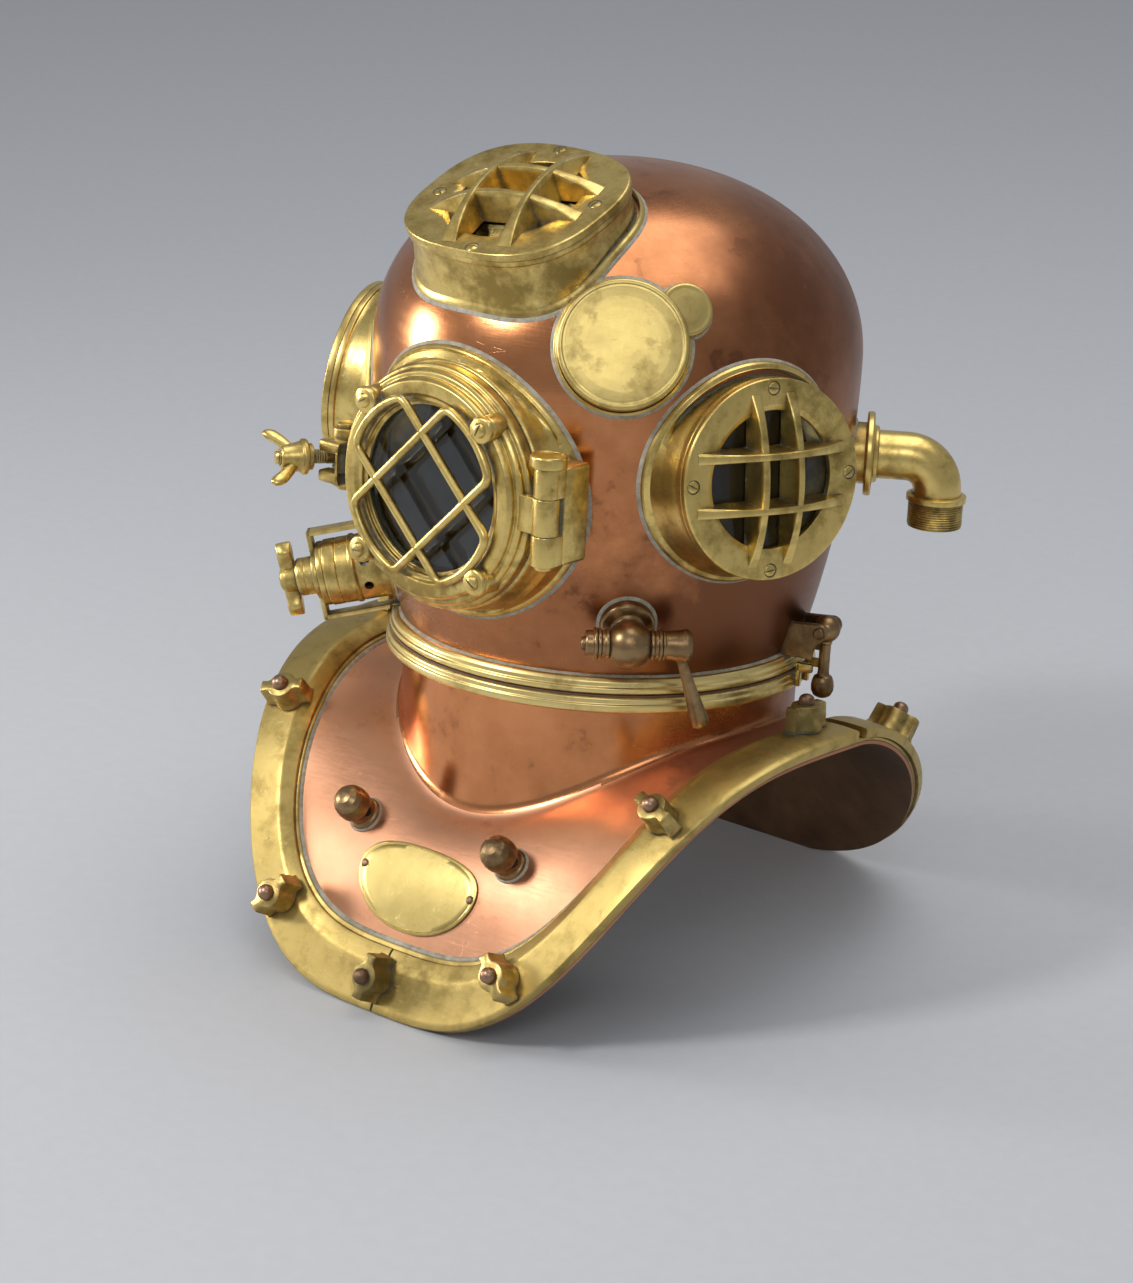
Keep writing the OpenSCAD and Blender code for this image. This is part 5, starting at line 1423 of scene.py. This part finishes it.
top_strap = block((-6, -29, 46.6), (6, 29, 49.6), 0.7)
strap.append(cut(top_strap, borer(Matrix(), 14.3, 50, 40)))
strap.append(turned([(14.3, 46.6), (15.6, 46.6), (15.6, 49.6), (14.3, 49.6)], 48, 0.4))
settle(joined(*strap), "exhaust_strap", "brass", "bonnet", "exhaust_guard", at=exhaust)

# %% Handle
hub = [(0, 48), (5, 48), (5, 61.2), (8.4, 61.5), (8.6, 62.6), (8.5, 68.4), (7, 71), (5, 72.2), (0, 72.4)]
outline_bar = []
for k in range(72):
    t = tau * (k + 0.5) / 72
    reach = 24 * cos(t)
    pinch = 4.3 + 2.7 * exp(-((abs(reach) - 18.0) / 4.8) ** 2)
    pinch *= sqrt(max(0.0, 1 - (abs(reach) / 24.02) ** 7))
    outline_bar.append((copysign(pinch, sin(t)), reach))
layers = ((61.6, 0.86), (62.3, 1.0), (67, 1.0), (69.6, 0.92), (70.6, 0.72))
handle = skin([[(x * g, y * (0.94 + 0.06 * g), z) for x, y in outline_bar] for z, g in layers])
handle = joined(turned(hub, 40, 0.5), handle)
settle(handle, "exhaust_bar", "brass", "exhaust_handle", "exhaust_handle", at=exhaust, smooth=50)
print("exhaust valve done")

# %% [markdown]
# ## Elbows
# The air hose and the telephone cable screw on two elbows at the back. Each is a bent tube from a
# round flange to a screwed end.


# %% One elbow, made twice
def elbow(turn, name, node):
    at = facing(turn, 0) @ moved(0, 128, 0)
    bend_radius, bend_start, inner_end = 20, 182, 143.5
    path = [(0, 0, z) for z in (inner_end, 149, 154, 162, 170, 178, bend_start)]
    for i in range(1, 13):
        angle = radians(90 * i / 12)
        path.append((0, bend_radius * cos(angle) - bend_radius, bend_start + bend_radius * sin(angle)))
    path += [(0, -23, 202), (0, -27, 202)]
    tube = rod(path, 15.0, sides=48)
    flange_line = [
        (0, inner_end), (19, inner_end), (19, 156.2), (25.2, 156.4), (26, 157.2), (26, 160),
        (25.2, 161), (18.4, 161.4), (17.6, 162.2), (17.2, 164), (15, 164.6), (0, 164.6),
    ]
    collar = turned(flange_line, 64, 0.5)
    end = [(11.5, 2.6), (15.6, 2.4), (18.6, 3.2), (18.6, 6.6), (16.6, 7.2)]
    end += [*threaded(10, (17.1, 7.8), (16.2, 8.55)), (16.8, 22.6), (16.2, 23), (12, 23), (11.5, 22.4)]
    screwed = put(turned(end, 64, 0.2), moved(0, -20, 202) @ swung("X", 90))
    settle(joined(tube, collar, screwed), name, "brass", "bonnet", node, at=at, smooth=40)
    solder(name, at, 19.6, 1.4)


elbow(126, "air_bend", "air_elbow")
elbow(-126, "telephone_bend", "telephone_elbow")

# %% [markdown]
# ## Safety lock
# A dumbbell hangs from an ear on the upper ring. When the bonnet is home it drops into a fork on the
# lower ring, so that the bonnet can't unscrew in the water.

# %% Lock, ear and fork
lock_side = facing(105.5, 0)
lock_height, lock_out = 29, 150
lock = lock_side @ moved(0, lock_height, lock_out)
head = ball_of(8.6, 40, 24)
cut(head, borer(swung("Y", 90), 2.6, 0, 30))
shank_line = [
    (0, 4), (4.2, 4), (4.2, 8.8), (3.6, 9.8), (3.5, 16), (3.5, 27.4), (3.9, 29.4), (5.6, 30.4),
    (6.6, 32.8), (7.1, 35.8), (6.9, 39.2), (5.4, 42.3), (3, 43.7), (0, 43.9),
]
shank = put(turned(shank_line, 36, 0.4), swung("X", 90))
settle(joined(head, shank), "lock_dumbbell", "bronze", "safety_lock", "safety_lock", at=lock, smooth=45)
ear_side = 10.9
ear_outline = []
for height in np.linspace(11.4, 33.2, 9):
    copper_at_ear = sqrt(waist_radius(height) ** 2 - ear_side**2)
    ear_outline.append((height - lock_height, copper_at_ear - lock_out - 0.8))
ear_outline += [(4.6, -12), (5.2, -4)]
ear_outline += [(5.6 * cos(t), 5.6 * sin(t)) for t in np.linspace(0.1, pi - 0.6, 11)]
ear_outline += [(-8.5, -1.6), (-13, -3.6), (-17.6, -4.2)]
ear_middle = Vector((-4, -9))
ears = []
for side in (-ear_side, ear_side):
    rings = []
    for across, inwards in ((-2, 0.7), (-1.3, 0), (1.3, 0), (2, 0.7)):
        points = [Vector(p) + (ear_middle - Vector(p)).normalized() * inwards for p in ear_outline]
        rings.append([(side + across, up, out) for up, out in points])
    ears.append(skin(rings))
pin_line = [
    (0, -14.2), (2.6, -14.2), (3.4, -13.8), (3.4, -13.1), (2.4, -13), (2.4, 13), (3.4, 13.1),
    (3.4, 13.8), (2.6, 14.2), (0, 14.2),
]
ears.append(put(turned(pin_line, 24, 0.2), swung("Y", 90)))
settle(joined(*ears), "lock_bracket", "brass", "bonnet", "lock_ear", finish="bronze", at=lock)
fork = []
for middle in (-7.2, 7.2):
    fork.append(block((middle - 2, -8.2, 135.05), (middle + 2, 7, 137.9), 0.6))
    fork.append(block((middle - 2, 1.5, 135.05), (middle + 2, 7, 145.4), 0.9))
settle(joined(*fork), "lock_prongs", "brass", "breastplate", "lock_fork", at=lock_side)
print("lock done")

# %% [markdown]
# ## Lashing eyes and name plate
# Two stout brown studs with a cross hole take the lashings of the weights. The oval plate between them
# has a raised border line and two rivets.

# %% Lashing eyes
stem = [
    (0, 0), (10.4, 0), (10.8, 1), (10.2, 2.6), (8.8, 3.4), (8.5, 5), (8.5, 8), (9.6, 10), (10.8, 12),
    (11, 14), (11, 17), (10.2, 21), (8.2, 24.2), (5.2, 26.3), (2.4, 27), (0, 27.1),
]
eyes = []
eye_lines = []
for a in (24.3, 360 - 24.3):
    on_eye = on_front(a, 0.29, 0.3)
    knob = turned(stem, 48, 0.4)
    cut(knob, borer(moved(0, 0, 9) @ swung("Y", 90), 3.4, 0, 40))
    eyes.append(put(knob, on_eye))
    line = turned([(9.9, -0.6), (12.0, -0.5), (11.6, 0.5), (10.6, 1.2), (9.9, 1.3)], 48, 0.3)
    eye_lines.append(put(line, on_eye))
settle(joined(*eyes), "lashing_studs", "bronze", "breastplate", "lashing_eyes", smooth=45)
settle(joined(*eye_lines), "lashing_solder", "bronze", "breastplate", finish="solder")

# %% Name plate
plate_middle = 0.44
plate_run = (sheet_at(0, plate_middle + 0.05) - sheet_at(0, plate_middle - 0.05)).length * 10


def plate_place(x, y):
    """Angle and share of the sheet for a place on the plate, in millimetres from its middle."""
    t = plate_middle - y / plate_run
    return x * 5 / sheet_at(5, t).x, t


levels = (
    (0.03, 0.3), (0.5, 0.3), (0.97, 0.3), (1, 0.5), (1, 1.3), (0.985, 1.55), (0.955, 1.6),
    (0.945, 1.3), (0.93, 1.3), (0.92, 1.55), (0.84, 1.55), (0.7, 1.6), (0.5, 1.65), (0.25, 1.7),
    (0.03, 1.7),
)
ovals = []
turns = [tau * k / 96 for k in range(96)]
for size, height in levels:
    places = [plate_place(48 * size * cos(t), 26.5 * size * sin(t)) for t in turns]
    ovals.append([above_sheet(*place, height) for place in places])
settle(skin(ovals), "oval_plate", "plate", "breastplate", "name_plate", smooth=40)
rivets = []
for x in (-44.2, 44.2):
    head = turned([(0, 0), (2.6, 0), (2.5, 0.5), (1.7, 1.1), (0, 1.35)], 24, 0.15)
    rivets.append(put(head, on_front(*plate_place(x, 0), 1.55)))
settle(joined(*rivets), "plate_rivets", "stud_copper", "breastplate", "name_plate_rivets")
print("pieces made", len(made))

# %% [markdown]
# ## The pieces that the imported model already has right
# Plain pins, washers, panes and the parts inside the bonnet keep their solids. Each takes the finish
# of its slot.

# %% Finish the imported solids
for name, solid in nodes.items():
    solid.data.materials.clear()
    solid.data.materials.append(finishes[slot_of[name]])
print("solids finished", len(nodes))
